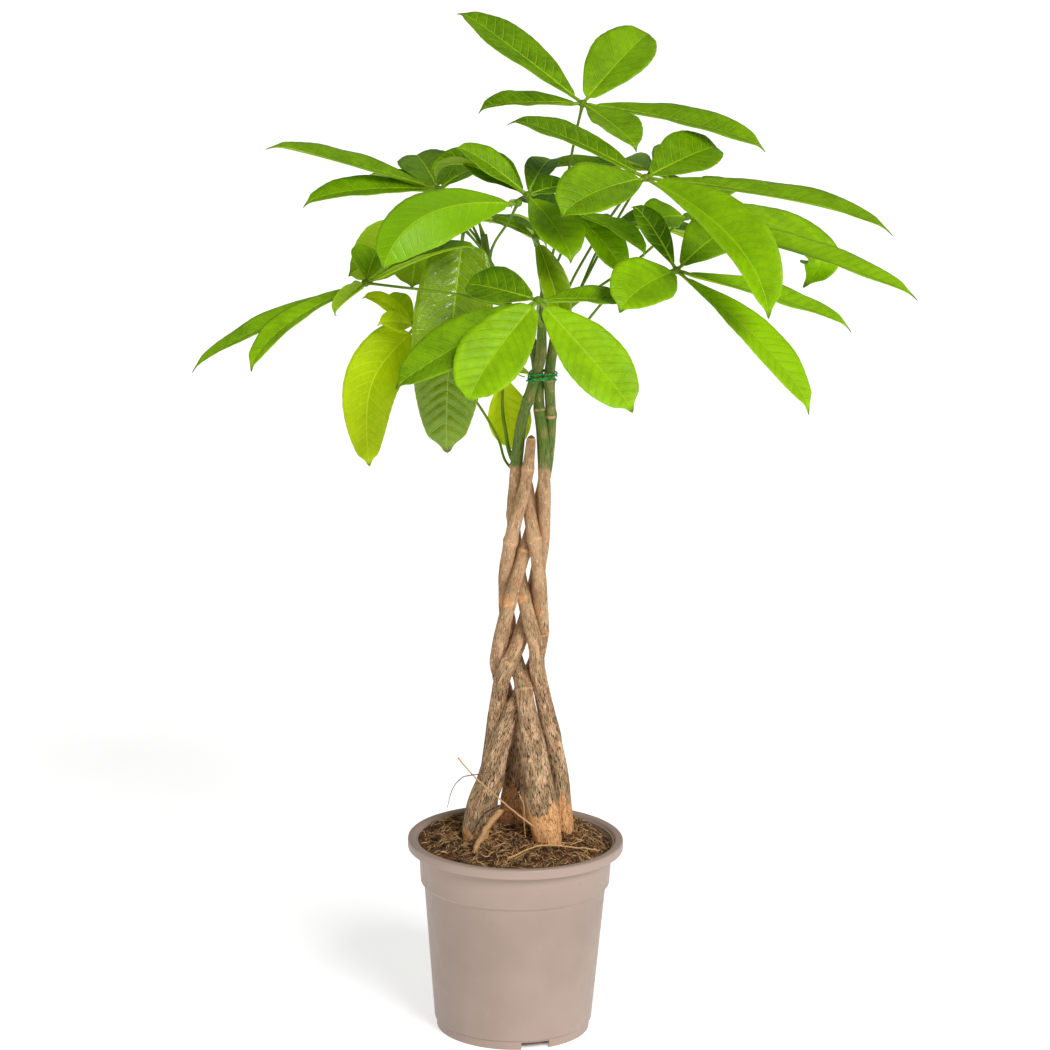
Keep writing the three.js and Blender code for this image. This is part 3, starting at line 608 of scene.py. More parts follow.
class Value:
    """The output of a new shader node; arithmetic and ramps on it make further nodes."""

    def __init__(self, tree, kind, output, inputs, **settings):
        node = tree.nodes.new("ShaderNode" + kind)
        for key, setting in settings.items():
            setattr(node, key, setting)
        for key, value in inputs.items():
            feed(node.inputs[key], value)
        self.tree = tree
        self.socket = node.outputs[output]

    def math(self, operation, *numbers, clamp=False):
        inputs = dict(enumerate(numbers))
        return Value(self.tree, "Math", 0, inputs, operation=operation, use_clamp=clamp)

    def __add__(self, other):
        return self.math("ADD", self, other)

    def __sub__(self, other):
        return self.math("SUBTRACT", self, other)

    def __rsub__(self, other):
        return self.math("SUBTRACT", other, self)

    def __mul__(self, other):
        return self.math("MULTIPLY", self, other)

    def ramp(self, low, high, start=0.0, end=1.0):
        """start below low, end above high, and smooth between them."""
        inputs = {"Value": self, "From Min": low, "From Max": high, "To Min": start, "To Max": end}
        return Value(self.tree, "MapRange", "Result", inputs, interpolation_type="SMOOTHSTEP")


def coated(colour, *coats):
    """A colour with coats over it, each a share and a colour."""
    for share, coat in coats:
        inputs = {"Factor": share, "A": colour, "B": coat}
        colour = Value(share.tree, "Mix", "Result", inputs, data_type="RGBA")
    return colour


class Nodes:
    """A material, the values to build its colour from, and its shader."""

    def __init__(self, name, roughness, **shader):
        self.material = bpy.data.materials.new(name)
        self.material.use_nodes = True
        self.tree = self.material.node_tree
        self.shader = self.tree.nodes["Principled BSDF"].inputs
        feed(self.shader["Roughness"], roughness)
        for key, value in shader.items():
            feed(self.shader[key.replace("_", " ")], value)
        self.place = Value(self.tree, "TexCoord", "Object", {})

    def attribute(self, name, output="Fac"):
        return Value(self.tree, "Attribute", output, {}, attribute_name=name)

    def noise(self, scale, detail=3.0, roughness=0.55, drawn=1.0, place=None):
        """Noise; drawn below 1 draws it out upwards."""
        inputs = {"Vector": place or self.place, "Scale": (1, 1, drawn)}
        place = Value(self.tree, "Mapping", "Vector", inputs)
        inputs = {"Vector": place, "Scale": scale, "Detail": detail, "Roughness": roughness}
        return Value(self.tree, "TexNoise", "Fac", inputs)

    def cells(self, scale, feature):
        inputs = {"Vector": self.place, "Scale": scale}
        return Value(self.tree, "TexVoronoi", "Distance", inputs, feature=feature)

    def finish(self, colour, relief, strength, depth):
        """The material in this colour; depth is the relief's full swing, in millimetres."""
        feed(self.shader["Base Color"], colour)
        inputs = {"Strength": strength, "Distance": depth * MM, "Height": relief}
        feed(self.shader["Normal"], Value(self.tree, "Bump", "Normal", inputs))
        return self.material


def leaf_material(name, light, deep, below, vein, roughness, gloss, quilt):
    """A leaf; the leaflet's tone, partly painted shade and light, chooses between the top's light and deep
    green.
    """
    nodes = Nodes(name, roughness, Specular_IOR_Level=gloss)
    clouds = nodes.noise(45)
    grain = nodes.noise(900, 2)
    mottle = nodes.noise(240, 4, 0.65)
    net = nodes.cells(420, "DISTANCE_TO_EDGE")
    edge = nodes.attribute("edge")
    under = nodes.attribute("under")
    tone = nodes.attribute("tone") * 0.5 + 0.5 + clouds.ramp(0.3, 0.7, -0.14, 0.14)
    tone = tone.math("ADD", tone, mottle.ramp(0.35, 0.65, -0.07, 0.07), clamp=True)
    vein_phase = nodes.attribute("vein")
    vein_phase = vein_phase.math("PINGPONG", vein_phase, 0.5)
    fade = 1 - edge * edge * edge
    side_vein = vein_phase.ramp(0, 0.075, 1, 0) * fade
    # Painted shade in the creases beside each side vein
    crease_shade = vein_phase.ramp(0.04, 0.22, 1, 0) * fade
    surface = coated(
        deep,
        (tone, light),
        (crease_shade * quilt * (1 - tone * 0.6), deep),
        (side_vein * (0.7 - tone * 0.25), vein),
        (net.ramp(0, 0.1, 0.14, 0), vein),
        (under, coated(below, (side_vein * 0.5, vein))),
        (edge.ramp(0.93, 1, 0, 0.45), vein),
        (nodes.attribute("rib").ramp(0.25, 0.75, 0.9, 0), vein),
        # The leaflet turns darker over its last twentieth, to the tip
        (nodes.attribute("along").ramp(0.95, 1, 0, 0.75), TIP_DARK),
        (nodes.attribute("stalk"), coated(STALK_GREEN, (clouds.ramp(0.35, 0.65), STALK_TAN))),
    )
    feed(nodes.shader["Roughness"], grain.ramp(0.3, 0.7, roughness - 0.07, roughness + 0.08) + under * 0.18)
    relief = vein_phase.ramp(0, 0.14, 0, 0.55) + net.ramp(0, 0.12, 0, 0.25) + grain * 0.2
    return nodes.finish(surface, relief, 0.6, 0.45)


def bark_material():
    """Bark: age brings fissures and olive patches, and rust marks the peeling feet."""
    nodes = Nodes("bark", 0.85, Specular_IOR_Level=0.3)
    bark = nodes.attribute("bark", "Vector")
    age = nodes.attribute("age")
    green = nodes.attribute("green")
    scar = nodes.attribute("scar")
    streaks = nodes.noise(0.9, 5, 0.7, 0.14, bark)
    plates = nodes.noise(0.15, 4, 0.55, 0.35, bark)
    patches = nodes.noise(0.11, 3, 0.55, 0.6, bark)
    cracks = nodes.noise(1.9, 3, 0.6, 0.1, bark)
    flecks = nodes.noise(0.8, 3, 0.7, 0.5, bark)
    fissures = (cracks - age * 0.1).ramp(0.31, 0.385, 1, 0)
    rust = coated(
        RUST_DARK,
        (streaks.ramp(0.35, 0.65), RUST_LIGHT),
        (flecks.ramp(0.4, 0.54, 0, 0.9), RUST_PALE),
        (fissures * 0.35, BARK_CRACK),
    )
    young = coated(
        STEM_GREEN_DEEP,
        (streaks.ramp(0.35, 0.65), STEM_GREEN),
        (flecks.ramp(0.64, 0.72, 0, 0.5), BARK_PALE),
    )
    surface = coated(
        BARK_DARK,
        (streaks.ramp(0.36, 0.58), BARK_MID),
        (plates.ramp(0.43, 0.56) * (age * 0.5 + 0.4), BARK_PALE),
        (patches.ramp(0.44, 0.58) * (age * 0.55 + 0.15), BARK_OLIVE),
        (flecks.ramp(0.58, 0.66, 0, 0.75), BARK_FLECK),
        (patches.ramp(0.6, 0.68, 0, 0.6), RUST_LIGHT),
        (fissures, BARK_CRACK),
        ((nodes.attribute("rust") + (flecks - 0.5)).ramp(0.27, 0.62), rust),
        (green, young),
        (scar.ramp(0.25, 0.5, 0, 0.6), SCAR_PALE),
        (scar.ramp(0.56, 0.72, 0, 0.85), SCAR_DARK),
    )
    feed(nodes.shader["Roughness"], 0.88 - green * 0.38)
    relief = (streaks * 0.5 - fissures * 0.6) * (1 - green * 0.85)
    return nodes.finish(surface, relief, 0.7, 0.9)


def soil_material():
    nodes = Nodes("soil", 0.95)
    clods = nodes.noise(130, 4, 0.6)
    grit = nodes.noise(620, 3, 0.65)
    peat = coated(
        SOIL_BLACK,
        (clods.ramp(0.36, 0.62), SOIL_BROWN),
        (grit.ramp(0.55, 0.72, 0, 0.8), SOIL_GOLD),
        (nodes.cells(480, "F1").ramp(0.1, 0.22, 0.35, 0), SOIL_TAN),
    )
    return nodes.finish(peat, grit + clods * 0.6, 1.0, 1.6)


def litter_material(name, dark, light, roughness=0.8):
    """Fibres, crumbs and rootlets: each has its own tone."""
    nodes = Nodes(name, roughness)
    grit = nodes.noise(700)
    tone = nodes.attribute("tone") + grit.ramp(0.3, 0.7, -0.2, 0.2)
    return nodes.finish(coated(dark, (tone, light)), grit, 0.5, 0.3)


def pot_material():
    """Matt plastic, paler up the wall as painted light, with dust and a painted shade line in the foot band's
    crease.
    """
    nodes = Nodes("pot_plastic", 0.5)
    height = Value(nodes.tree, "SeparateXYZ", "Z", {"Vector": nodes.place})
    clouds = nodes.noise(14)
    mottle = nodes.noise(160, 4, 0.6)
    grain = nodes.noise(1500, 2)
    dust = nodes.noise(60, 5, 0.7, 0.5)
    from_band = height.math("ABSOLUTE", height - FOOT_BAND * MM)
    plastic = coated(
        POT_DEEP,
        (clouds.ramp(0.3, 0.7), POT_LIGHT),
        # Painted light: the wall turns paler towards the top
        (height.ramp(0.1, 0.15, 0, 0.5), POT_PALE),
        (mottle.ramp(0.55, 0.75, 0, 0.16), POT_PALE),
        (dust.ramp(0.62, 0.78, 0, 0.3), POT_DUST_AND_SHADE),
        # Painted shade: a dark line in the crease at the top of the foot band, in the dust colour
        (from_band.ramp(0, FOOT_SHADE_LINE * MM, 0.75, 0), POT_DUST_AND_SHADE),
    )
    feed(nodes.shader["Roughness"], mottle.ramp(0.3, 0.7, 0.42, 0.56))
    return nodes.finish(plastic, grain * 0.4 + mottle * 0.6, 0.25, 0.15)


def wire_material():
    nodes = Nodes("tie_wire", 0.32)
    shade = nodes.noise(500)
    return nodes.finish(coated(TIE_DEEP, (shade.ramp(0.3, 0.7), TIE_LIGHT)), shade, 0.3, 0.2)


def floor_material():
    """The floor glows a little to stay white, but not under the pot."""
    nodes = Nodes("floor", 0.8, Specular_IOR_Level=0.1, Emission_Strength=FLOOR_GLOW)
    from_axis = Value(nodes.tree, "VectorMath", "Value", {"Vector": nodes.place}, operation="LENGTH")
    open_floor = from_axis.ramp(SHADE_RADIUS * MM, FOOT_RADIUS * MM)
    feed(nodes.shader["Emission Color"], coated((0, 0, 0), (open_floor, (1, 1, 1))))
    feed(nodes.shader["Base Color"], FLOOR_COLOUR)
    return nodes.material


# Pot

def inner_radius(height):
    outside = [
        (FLOOR_TOP, BODY_FOOT_RADIUS), (STEP_HEIGHT - WALL, BODY_TOP_RADIUS),
        (STEP_HEIGHT + WALL, COLLAR_FOOT_RADIUS), (POT_HEIGHT - RIM_DEPTH, COLLAR_TOP_RADIUS),
        (POT_HEIGHT, RIM_INNER_RADIUS + WALL),
    ]
    return read_off(outside, height) - WALL


def rounded(outline):
    """The outline with each corner rounded, as its third number says or else by CORNER_ROUND."""
    points = [np.array(corner[:2], float) for corner in outline]
    smooth = [points[0]]
    for before, point, after, corner in zip(points, points[1:], points[2:], outline[1:]):
        size = corner[2] if len(corner) > 2 else CORNER_ROUND
        room = MOST_ROUND * min(np.linalg.norm(before - point), np.linalg.norm(after - point))
        start, end = [point + unit(other - point) * min(size, room) for other in (before, after)]
        for share in np.linspace(0, 1, ROUND_STEPS):
            smooth.append((1 - share) ** 2 * start + 2 * share * (1 - share) * point + share ** 2 * end)
    return np.array([*smooth, points[-1]])


def make_pot():
    under_rim = POT_HEIGHT - RIM_DEPTH
    outline = rounded([
        (0, 0), (CENTRE_FOOT_RADIUS, 0), (CENTRE_FOOT_RADIUS, FLOOR_UNDERSIDE),
        (FOOT_INNER_RADIUS, FLOOR_UNDERSIDE), (FOOT_INNER_RADIUS, 0), (FOOT_RADIUS, 0),
        (FOOT_TOP_RADIUS, FOOT_BAND), (BODY_FOOT_RADIUS, FOOT_BAND + EDGE),
        (BODY_TOP_RADIUS, STEP_HEIGHT - EDGE, STEP_ROUND),
        (COLLAR_FOOT_RADIUS, STEP_HEIGHT + EDGE, COLLAR_ROUND),
        (COLLAR_TOP_RADIUS, POT_HEIGHT - WALL - EDGE), (RIM_RADIUS - WALL, POT_HEIGHT - WALL),
        (RIM_RADIUS - WALL, under_rim), (RIM_RADIUS, under_rim), (RIM_RADIUS, POT_HEIGHT, RIM_ROUND),
        (RIM_INNER_RADIUS, POT_HEIGHT, RIM_INNER_ROUND), (inner_radius(under_rim), under_rim),
        (inner_radius(STEP_HEIGHT), STEP_HEIGHT), (inner_radius(FLOOR_TOP), FLOOR_TOP),
        (0, FLOOR_TOP),
    ])
    shape = Shape()
    rings = round_axis(outline[1:-1, 0], outline[1:-1, 1], POT_SIDES)
    shape.add(rings, [(0, 0, 0), (0, 0, FLOOR_TOP)])
    pot = shape.piece("pot_moulded", pot_material(), "pot", "pot")
    cutters = []
    for i in range(NOTCHES):
        turn = math.radians(NOTCH_TURN + i * 360 / NOTCHES)
        size = Matrix.Diagonal((NOTCH_REACH * MM, NOTCH_WIDTH * MM, 2 * FLOOR_UNDERSIDE * MM, 1))
        place = Matrix.Rotation(turn, 4, "Z") @ Matrix.Translation((FOOT_RADIUS * MM, 0, 0))
        bpy.ops.mesh.primitive_cube_add(size=1)
        bpy.context.object.data.transform(place @ size)
        cutters.append(bpy.context.object)
    for i in range(DRAIN_HOLES):
        turn = i * 2 * math.pi / DRAIN_HOLES
        place = Vector((math.cos(turn), math.sin(turn), 0)) * DRAIN_CIRCLE * MM
        bpy.ops.mesh.primitive_cylinder_add(radius=DRAIN_RADIUS * MM, depth=4 * FLOOR_TOP * MM)
        bpy.context.object.data.transform(Matrix.Translation(place))
        cutters.append(bpy.context.object)
    for cutter in cutters:
        cut = pot.modifiers.new("cut", "BOOLEAN")
        cut.operation = "DIFFERENCE"
        cut.object = cutter
    cut_pot = pot.evaluated_get(bpy.context.evaluated_depsgraph_get())
    mesh = bpy.data.meshes.new_from_object(cut_pot)
    pot.modifiers.clear()
    pot.data = mesh
    for cutter in cutters:
        bpy.data.objects.remove(cutter)
    mesh.set_sharp_from_angle(angle=math.radians(SHARP_ANGLE))


# Stems

def stem_line(stem):
    """Through the foot, a five-strand braid and the crown."""
    braid = []
    for height in range(BRAID_FOOT, BRAID_HEAD + 1, BRAID_STEP):
        turn = math.radians(90 + stem["phase"] + (BRAID_START - height) / BRAID_PITCH * 360)
        across = read_off(BRAID_MIDDLE, height) + read_off(BRAID_SPREAD, height) * math.sin(turn)
        braid.append((across, -read_off(BRAID_DEPTH, height) * math.sin(2 * turn), height))
    return smooth_line([*stem["feet"], *braid, *stem["crown"]])


def make_stem(name, stem, seed, material):
    line = stem_line(stem)
    _, length = spaced(line, [0])
    rows = int(length / STEM_STEP)
    line, _ = spaced(line, np.linspace(0, 1, rows))
    height = line[:, 2, None]
    along = np.linspace(0, length, rows)[:, None]
    girth = read_off(stem["girth"], height)
    bark = round_axis(girth, along, STEM_SIDES)
    green = ease(stem["green"] - GREEN_EDGE, stem["green"] + GREEN_EDGE, height)
    green = np.clip(green + 0.5 * green * noise(bark / (4, 4, 9), seed), 0, 1)
    ridges = noise(bark / (2.6, 2.6, 16), seed + 20, 3)
    lumps = noise(bark / (9, 9, 22), seed + 40)
    knuckles = sum(size * swelling(height - place, KNUCKLE_REACH) for place, size in stem["nodes"])
    scar = sum(
        swelling(height - place, SCAR_REACH) * (0.4 + 0.6 * ease(0.2, 1.2, size))
        for place, size in stem["nodes"]
    )
    scar = np.clip(scar * (0.75 + 0.5 * noise(bark / (3, 3, 6), seed + 60)), 0, 1)
    age = ease(*BARK_AGES, height)
    peel = stem["rust"] + RUST_RAGGED * noise(bark / (5, 5, 14), seed + 80, 3)
    rust = ease(8, -8, height - peel)
    flare = ease(stem["rust"] + RUST_RAGGED, stem["rust"] - 12, height)
    radii = girth + (0.25 + 0.3 * age) * (1 - 0.85 * green) * ridges + 0.35 * lumps + knuckles
    radii = radii + 0.9 * flare * noise(bark / (7, 7, 10), seed + 90, 3)
    if "cut" in stem:
        rough = 0.6 + 0.6 * noise(bark / (3.5, 3.5, 5), seed + 70)
        radii = radii + stem["cut"] * swelling(height - height[-1] + CUT_DOME, 4.5) * rough
        dome = np.clip((along - length + CUT_DOME) / CUT_DOME, 0, 1)
        radii = radii * np.sqrt(np.clip(1 - dome ** 2, 0.03, 1))
        scar = np.maximum(scar, 0.8 * ease(length - 5, length - 1, along))
    shape = Shape("bark", "green", "rust", "scar", "age")
    shape.tube(line, radii, STEM_SIDES, bark=bark, green=green, rust=rust, scar=scar, age=age)
    shape.piece(name + "_bark", material, "stem", name)
    return line


# Leaves

def leaflet_spine(hub, tip, arch, over, places):
    """Points along a leaflet's arched middle line, and the line's length."""
    hub, tip = np.array(hub, float), np.array(tip, float)
    chord = tip - hub
    length = np.linalg.norm(chord)
    side = unit(np.cross(chord, (0, 0, 1)))
    lift = unit(np.cross(side, chord)) * arch / 100 * length
    bows = [
        hub + chord * STALK_ROOT / length,
        hub + chord * BOW_NEAR[0] + lift * BOW_NEAR[1],
        hub + chord * over + lift * BOW_LIFT,
        tip,
    ]
    share = np.linspace(0, 1, SPINE_STEPS)[:, None]
    curve = sum(math.comb(3, k) * share ** k * (1 - share) ** (3 - k) * bow for k, bow in enumerate(bows))
    return spaced(curve, places)


def tip_hook(places):
    """How far the tip hooks down, for places along the leaflet."""
    return TIP_HOOK * np.clip((places - HOOK_PLACE) / (1 - HOOK_PLACE), 0, 1) ** 2


def blade_half_width(places, width, widest, fullness):
    swell = np.sin(math.pi * np.clip(places, 0, 1) ** (math.log(0.5) / math.log(widest)))
    half = width * np.clip(swell, 0, 1) ** fullness / 2
    half = half * (1 - 0.5 * ease(0.9, 0.97, places))
    foot = ease(BLADE_START, BLADE_START + BLADE_FOOT, places)
    return np.maximum(TIP_WIDTH / 2, half * foot)


def margin_ripple(places, side, random):
    """Waves of the margin, each with its own phase on either side of the rib."""
    ripple = 0
    for k in RIPPLES:
        left, right = random.uniform(0, 1, 2)
        phase = np.where(side < 0, left, right)
        ripple = ripple + MARGIN_WAVE / k * np.sin(2 * math.pi * (places * k * RIPPLE_COUNT + phase))
    return ripple * np.abs(side) ** 2.5


def add_leaflet(shape, hub, seed, tip, width, arch, lean, tone, *special):
    """A leaflet: a blade folded along its spine, with raised veins, and the rib under it."""
    form = dict(LEAFLET_FORM)
    form.update(*special)
    tone = tone / 100
    random = np.random.default_rng(seed)
    stations = np.linspace(BLADE_START, 1, BLADE_ROWS)
    spine, length = leaflet_spine(hub, tip, arch, form["over"], stations)
    along = unit(np.gradient(spine, axis=0))
    turn = math.radians(lean)
    facing = np.array([0, -math.sin(turn), math.cos(turn)])
    normal = unit(facing - along * (along @ facing)[:, None])
    across = np.cross(along, normal)
    places = stations[:, None]
    spine = spine - normal * tip_hook(places)
    half = blade_half_width(places, width, form["widest"], form["fullness"])
    side = (np.arange(BLADE_COLUMNS + 1) / BLADE_COLUMNS) ** COLUMN_CROWDING
    side = np.concatenate([-side[:0:-1], side])
    edge = np.abs(side)
    reach = edge * half
    twist = math.radians(random.uniform(-BLADE_TWIST, BLADE_TWIST)) * (places - 0.4)
    fold = math.radians(form["fold"])
    # The side veins: whole phases are veins, which slant outwards and start in turn left and right
    phase = (places - (VEIN_SLANT * reach + VEIN_CURVE * reach ** 2) / length) * length / VEIN_SPACING
    phase = phase + VEIN_STAGGER * np.clip(side / STAGGER_WIDTH, -1, 1) + random.uniform(0, 1)
    spots = np.stack(np.broadcast_arrays(phase / 1.7, 3 * np.sign(side), seed), axis=-1)
    phase = phase + VEIN_JITTER * noise(spots, VEIN_SEED)
    # Relief between the veins and waves at the margin, both less where the blade is narrow
    quilt = np.abs(np.sin(math.pi * phase)) ** 0.7 - 0.5
    relief = quilt * ease(0, 0.12, edge) * (1 - 0.75 * edge ** 2) * np.minimum(1, half / 14)
    ripple = margin_ripple(places, side, random) * np.minimum(1, half / 16)
    scallop = 1 + SCALLOP * np.sin(phase[:, :1] * 2 * math.pi) * edge
    out = side * half * math.cos(fold) * scallop
    rise = reach * math.sin(fold) * (1 + FOLD_SPREAD * (1 - edge ** 2)) - half * BLADE_SINK
    rise = rise + VEIN_RELIEF * form["relief"] * relief + ripple
    out, rise = out * np.cos(twist) - rise * np.sin(twist), out * np.sin(twist) + rise * np.cos(twist)
    middle = spine[:, None] + across[:, None] * out[..., None] + normal[:, None] * rise[..., None]
    thick = (RIB_THICKNESS + (MARGIN_THICKNESS - RIB_THICKNESS) * edge)[:, None] / 2 * normal[:, None]
    # A ring goes over the top of the blade and back under it
    both = np.concatenate([edge, edge[::-1]])[None]
    thinning = 1 - 0.65 * places
    shape.add(
        np.concatenate([middle + thick, (middle - thick)[:, ::-1]], axis=1),
        rib=np.maximum(0, both * half / thinning - 0.35) + 0.01,
        vein=np.concatenate([phase, phase[:, ::-1]], axis=1),
        edge=both,
        under=np.repeat([[0.0, 1.0]], len(side), axis=1),
        along=stations,
        tone=tone + random.uniform(-TONE_JITTER, TONE_JITTER),
    )
    places = np.linspace(0, RIB_END, RIB_ROWS)
    rib, _ = leaflet_spine(hub, tip, arch, form["over"], places)
    radius = RIB_RADIUS * (1 - places) ** 0.8 + 0.2
    sink = ease(0.03, 0.1, places) * (radius - 0.25)
    sink = sink + tip_hook(places) + np.interp(places, stations, half[:, 0]) * BLADE_SINK
    rib = rib - points_at(places, stations, normal) * sink[:, None]
    stalk = 1 - ease(0.03, 0.14, places)
    shape.tube(rib, radius, THIN_SIDES, stalk=stalk * 0.7, under=1 - stalk, tone=tone, edge=1)


def make_leaf(name, leaf, lines, seed):
    """The stalk from the middle of its stem by its route to the hub, the hub and the leaflets."""
    stem, height, route, hub, leaflets = leaf
    shape = Shape("rib", "vein", "edge", "under", "along", "tone", "stalk")
    start = points_at(height, lines[stem][:, 2], lines[stem])
    share = np.linspace(0, 1, STALK_ROWS)
    line, length = spaced(smooth_line([start, *route, hub], STALK_STEPS), share)
    foot = STALK_FOOT.get(name, STALK_RADIUS)
    radius = foot + (STALK_RADIUS - foot) * share
    radius = radius + 0.9 * swelling(share * length - 5, 7) + 0.75 * swelling((1 - share) * length, 5)
    shape.tube(line, radius, STALK_SIDES, stalk=1.0, edge=1)
    polar = np.linspace(-0.9, 0.9, HUB_ROWS)
    knuckle = np.array(hub, float) + polar[:, None] * (0, 0, HUB_RADIUS)
    shape.tube(knuckle, HUB_RADIUS * np.sqrt(1 - polar ** 2), HUB_SIDES, stalk=1.0, edge=1)
    for k, row in enumerate(leaflets):
        add_leaflet(shape, hub, seed * 10 + k, *row)
    look, slot = LEAF_LOOKS.get(name, ("mid", "leaf"))
    shape.piece(name + "_blades", leaf_materials[look], slot, name)


# Tie

def make_tie(lines):
    """Turns of wire drawn round the tall stems, with two twisted ends."""
    rods = []
    for name, stem in STEMS.items():
        if stem["girth"][-1][0] > TIE_HEIGHT:
            rods.append((lines[name], read_off(stem["girth"], TIE_HEIGHT)))
    points = []
    for i in range(TIE_STEPS + 1):
        turn = i / TIE_STEPS * TIE_TURNS * 2 * math.pi
        out = np.array([math.cos(turn), math.sin(turn), 0])
        height = TIE_HEIGHT + 0.5 * TIE_WIDTH * math.sin(TIE_SWING * turn)
        reaches = []
        for line, radius in rods:
            centre = points_at(height, line[:, 2], line)
            reaches.append((centre @ out + radius, radius, centre))
        _, radius, centre = max(reaches, key=lambda reach: reach[0])
        layer = 0.5 * TIE_RADIUS * (1 + math.cos(TIE_SWING * turn))
        points.append(centre + out * (radius + TIE_RADIUS + TIE_SLACK + layer))
    line, _ = spaced(smooth_line(points, 10), np.linspace(0, 1, TIE_ROWS))
    shape = Shape()
    shape.tube(line, np.full(TIE_ROWS, TIE_RADIUS), TIE_SIDES)
    for end in TIE_ENDS:
        tail, _ = spaced(smooth_line(end, 12), np.linspace(0, 1, TIE_END_ROWS))
        shape.tube(tail, np.full(TIE_END_ROWS, TIE_END_RADIUS), THIN_SIDES)
    shape.piece("tie_wire", wire_material(), "tie", "tie")


# Soil

SOIL_RADIUS = inner_radius(SOIL_EDGE) - SOIL_GAP


def soil_height(across, deep):
    """The soil's level at a place, in millimetres."""
    share = np.hypot(across, deep) / SOIL_RADIUS
    place = np.stack([across, deep, np.zeros_like(across)], axis=-1)
    lumps = 2.2 * noise(place / 17, 3, 2) + 2.1 * noise(place / 6, 11, 2)
    level = SOIL_EDGE + SOIL_CROWN * (1 - share ** 2) + ease(1, 0.9, share) * lumps
    from_settled = np.arctan2(deep, across) - math.radians(SETTLED_TURN)
    return level - SETTLED_DEPTH * swelling(from_settled, 0.7) * ease(0.74, 0.96, share)


def make_soil(material):
    share = np.linspace(0.004, 1, SOIL_RINGS)
    top = round_axis(SOIL_RADIUS * share, 0, SOIL_SIDES)
    top[..., 2] = soil_height(top[..., 0], top[..., 1])
    inside = ease(1, 0.95, share)[:, None]
    top[..., 2] += inside * SOIL_GRAIN * noise(top / 2.2, 17, 2)
    heights = np.array([FLOOR_TOP + SOIL_GAP, STEP_HEIGHT - WALL, STEP_HEIGHT + WALL, POT_HEIGHT - RIM_DEPTH])
    wall = round_axis(inner_radius(heights) - SOIL_GAP, heights, SOIL_SIDES)
    shape = Shape()
    shape.add(np.concatenate([wall, top[::-1]]), [(0, 0, heights[0]), (0, 0, top[0, :, 2].mean())])
    shape.piece("soil_peat", material, "soil", "soil")


def strewn(random, count, reach):
    """Places spread evenly over the soil, clear of the stems' feet."""
    feet = np.array([stem["feet"][1][:2] for stem in STEMS.values()])
    places = []
    while len(places) < count:
        turn = random.uniform(0, 2 * math.pi)
        radius = (SOIL_RADIUS - STREWN_MARGIN) * reach * math.sqrt(random.uniform(0, 1))
        place = np.array([radius * math.cos(turn), radius * math.sin(turn)])
        if np.linalg.norm(feet - place, axis=1).min() > FOOT_CLEARANCE:
            places.append(place)
    return np.array(places)


def make_fibres(material):
    """Short bent fibres, lying on the soil or a little up from it."""
    random = np.random.default_rng(5)
    shape = Shape("tone")
    steps = np.linspace(-0.5, 0.5, FIBRE_ROWS)
    for x, y in strewn(random, FIBRES, 0.97):
        length = random.uniform(*FIBRE_LENGTH)
        turn = random.uniform(0, 2 * math.pi) + random.uniform(-FIBRE_BEND, FIBRE_BEND) * steps
        across = x + np.cos(turn) * steps * length
        deep = y + np.sin(turn) * steps * length
        squeeze = np.minimum(1, (SOIL_RADIUS - FIBRE_MARGIN) / np.hypot(across, deep))
        across, deep = across * squeeze, deep * squeeze
        lift = random.uniform(*FIBRE_LIFT) + random.uniform(*FIBRE_TILT) * steps
        line = np.stack([across, deep, soil_height(across, deep) + np.maximum(lift, FIBRE_LIFT[0])], axis=-1)
        radius = random.uniform(*FIBRE_RADIUS) * (1 - 0.75 * (steps * 2) ** 2)
        shape.tube(line, radius, FIBRE_SIDES, tone=random.uniform(0, 1) ** 1.5)
    shape.piece("soil_fibres", material, "soil")


def make_crumbs(material):
    """Peat crumbs: small rough balls pressed into the soil."""
    random = np.random.default_rng(9)
    shape = Shape("tone")
    polar = np.linspace(-0.92, 0.92, CRUMB_ROWS)
    plain = round_axis(np.sqrt(1 - polar ** 2), polar, THIN_SIDES)
    for x, y in strewn(random, CRUMBS, 0.985):
        size = random.uniform(*CRUMB_SIZE) * (1.0 if random.uniform() > 0.12 else 1.5)
        stretch = random.uniform(*CRUMB_STRETCH, 3) * (1, 1, 0.6)
        rough = 1 + 0.45 * noise(plain * 1.7 + random.uniform(0, 99, 3), 31)
        ball = plain * rough[..., None] * stretch * size
        x, y = np.array([x, y]) * min(1, (SOIL_RADIUS + SOIL_GAP - size * 1.4) / math.hypot(x, y))
        ball = ball + (x, y, soil_height(x, y) + 0.15 * size)
        shape.add(ball, ball[[0, -1]].mean(axis=1), tone=random.uniform(0, 1) ** 2)
    shape.piece("soil_crumbs", material, "soil")


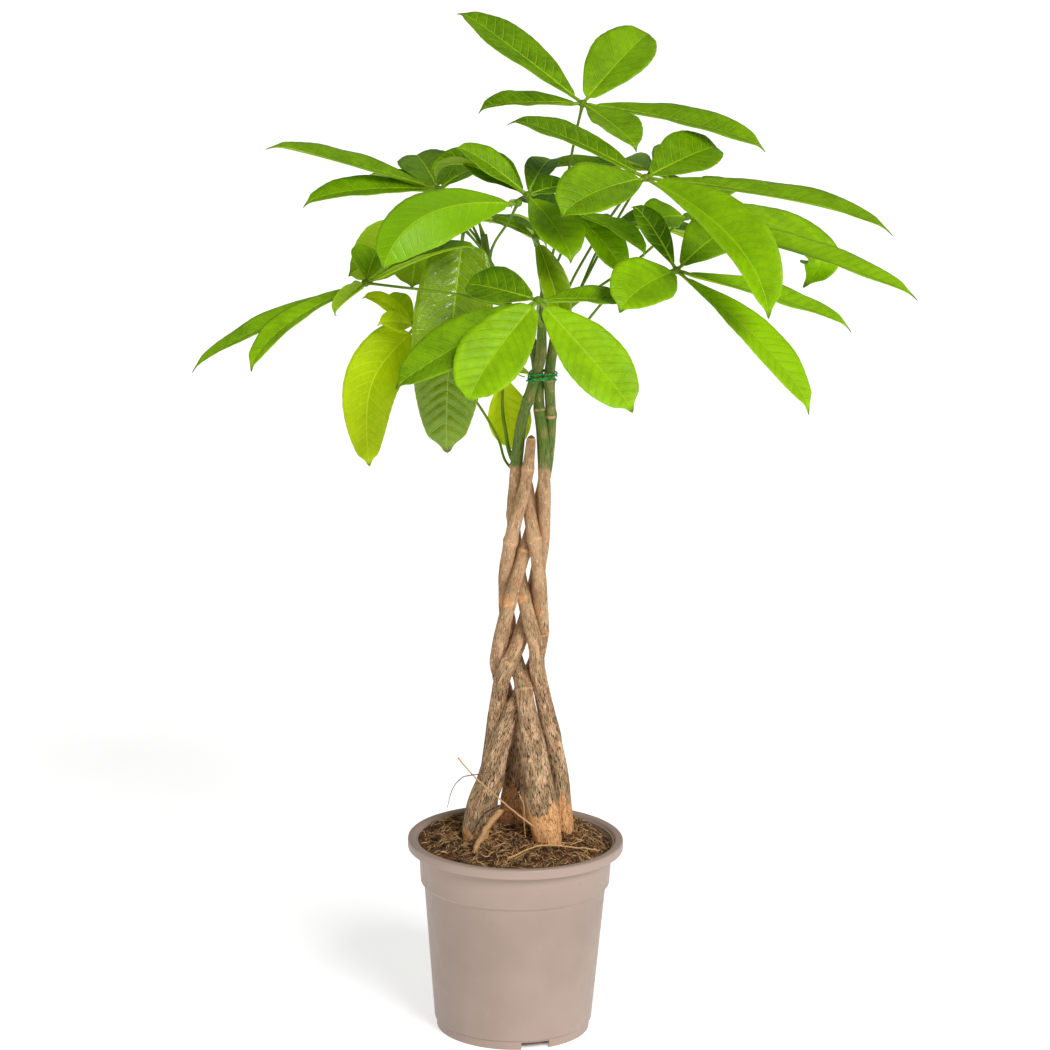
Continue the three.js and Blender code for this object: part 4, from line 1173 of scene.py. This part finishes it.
def make_rootlets(material):
    shape = Shape("tone")
    share = np.linspace(0, 1, ROOT_ROWS)
    for points, girth, tip, tone in ROOTLETS:
        line, _ = spaced(smooth_line(points, 16), share)
        wobble = np.stack([noise(line / 6 + k * 31, 50 + k, 2) for k in range(3)], axis=-1)
        line = line + 0.5 * girth * wobble
        radius = girth * (1 - (1 - tip) * share) * (1 + 0.15 * noise(line / 3, 60, 2))
        shape.tube(line, radius, THIN_SIDES, tone=tone)
    shape.piece("rootlets", material, "soil")


# The whole plant

make_pot()
make_soil(soil_material())
make_crumbs(litter_material("peat_crumbs", SOIL_BLACK, SOIL_TAN, 0.95))
make_fibres(litter_material("peat_fibres", FIBRE_DARK, FIBRE_PALE))
bark = bark_material()
stem_lines = {
    name: make_stem(name, stem, 100 + 10 * k, bark) for k, (name, stem) in enumerate(STEMS.items())
}
make_rootlets(litter_material("rootlets", ROOT_DARK, ROOT_PALE))
make_tie(stem_lines)
leaf_materials = {name: leaf_material("leaf_" + name, *look) for name, look in LEAF_MATERIALS.items()}
for k, (name, leaf) in enumerate(LEAVES.items()):
    make_leaf(name, leaf, stem_lines, 500 + k)


# Floor, light and camera

bpy.ops.mesh.primitive_plane_add(size=FLOOR_SIZE)
floor = bpy.context.object
floor.name = "floor"
floor.data.materials.append(floor_material())

world = bpy.data.worlds.new("studio")
world.use_nodes = True
background = world.node_tree.nodes["Background"].inputs
feed(background["Color"], WORLD_COLOUR)
feed(background["Strength"], WORLD_STRENGTH)
bpy.context.scene.world = world

bpy.ops.object.light_add(type="SUN")
key = bpy.context.object
key.data.energy = KEY_STRENGTH
key.data.angle = math.radians(KEY_SPREAD)
key.rotation_euler = Vector(KEY_DIRECTION).to_track_quat("Z", "Y").to_euler()

bpy.ops.object.camera_add()
camera = bpy.context.object
camera.data.sensor_width = SENSOR_WIDTH
camera.data.lens = FOCAL_PIXELS / PICTURE_WIDTH * SENSOR_WIDTH
camera.matrix_world = (
    Matrix.Translation([place * MM for place in CAMERA_PLACE])
    @ Matrix.Rotation(math.radians(90 + CAMERA_PITCH), 4, "X")
    @ Matrix.Rotation(math.radians(CAMERA_ROLL), 4, "Z")
)
bpy.context.scene.camera = camera
bpy.context.scene.view_settings.view_transform = "Standard"
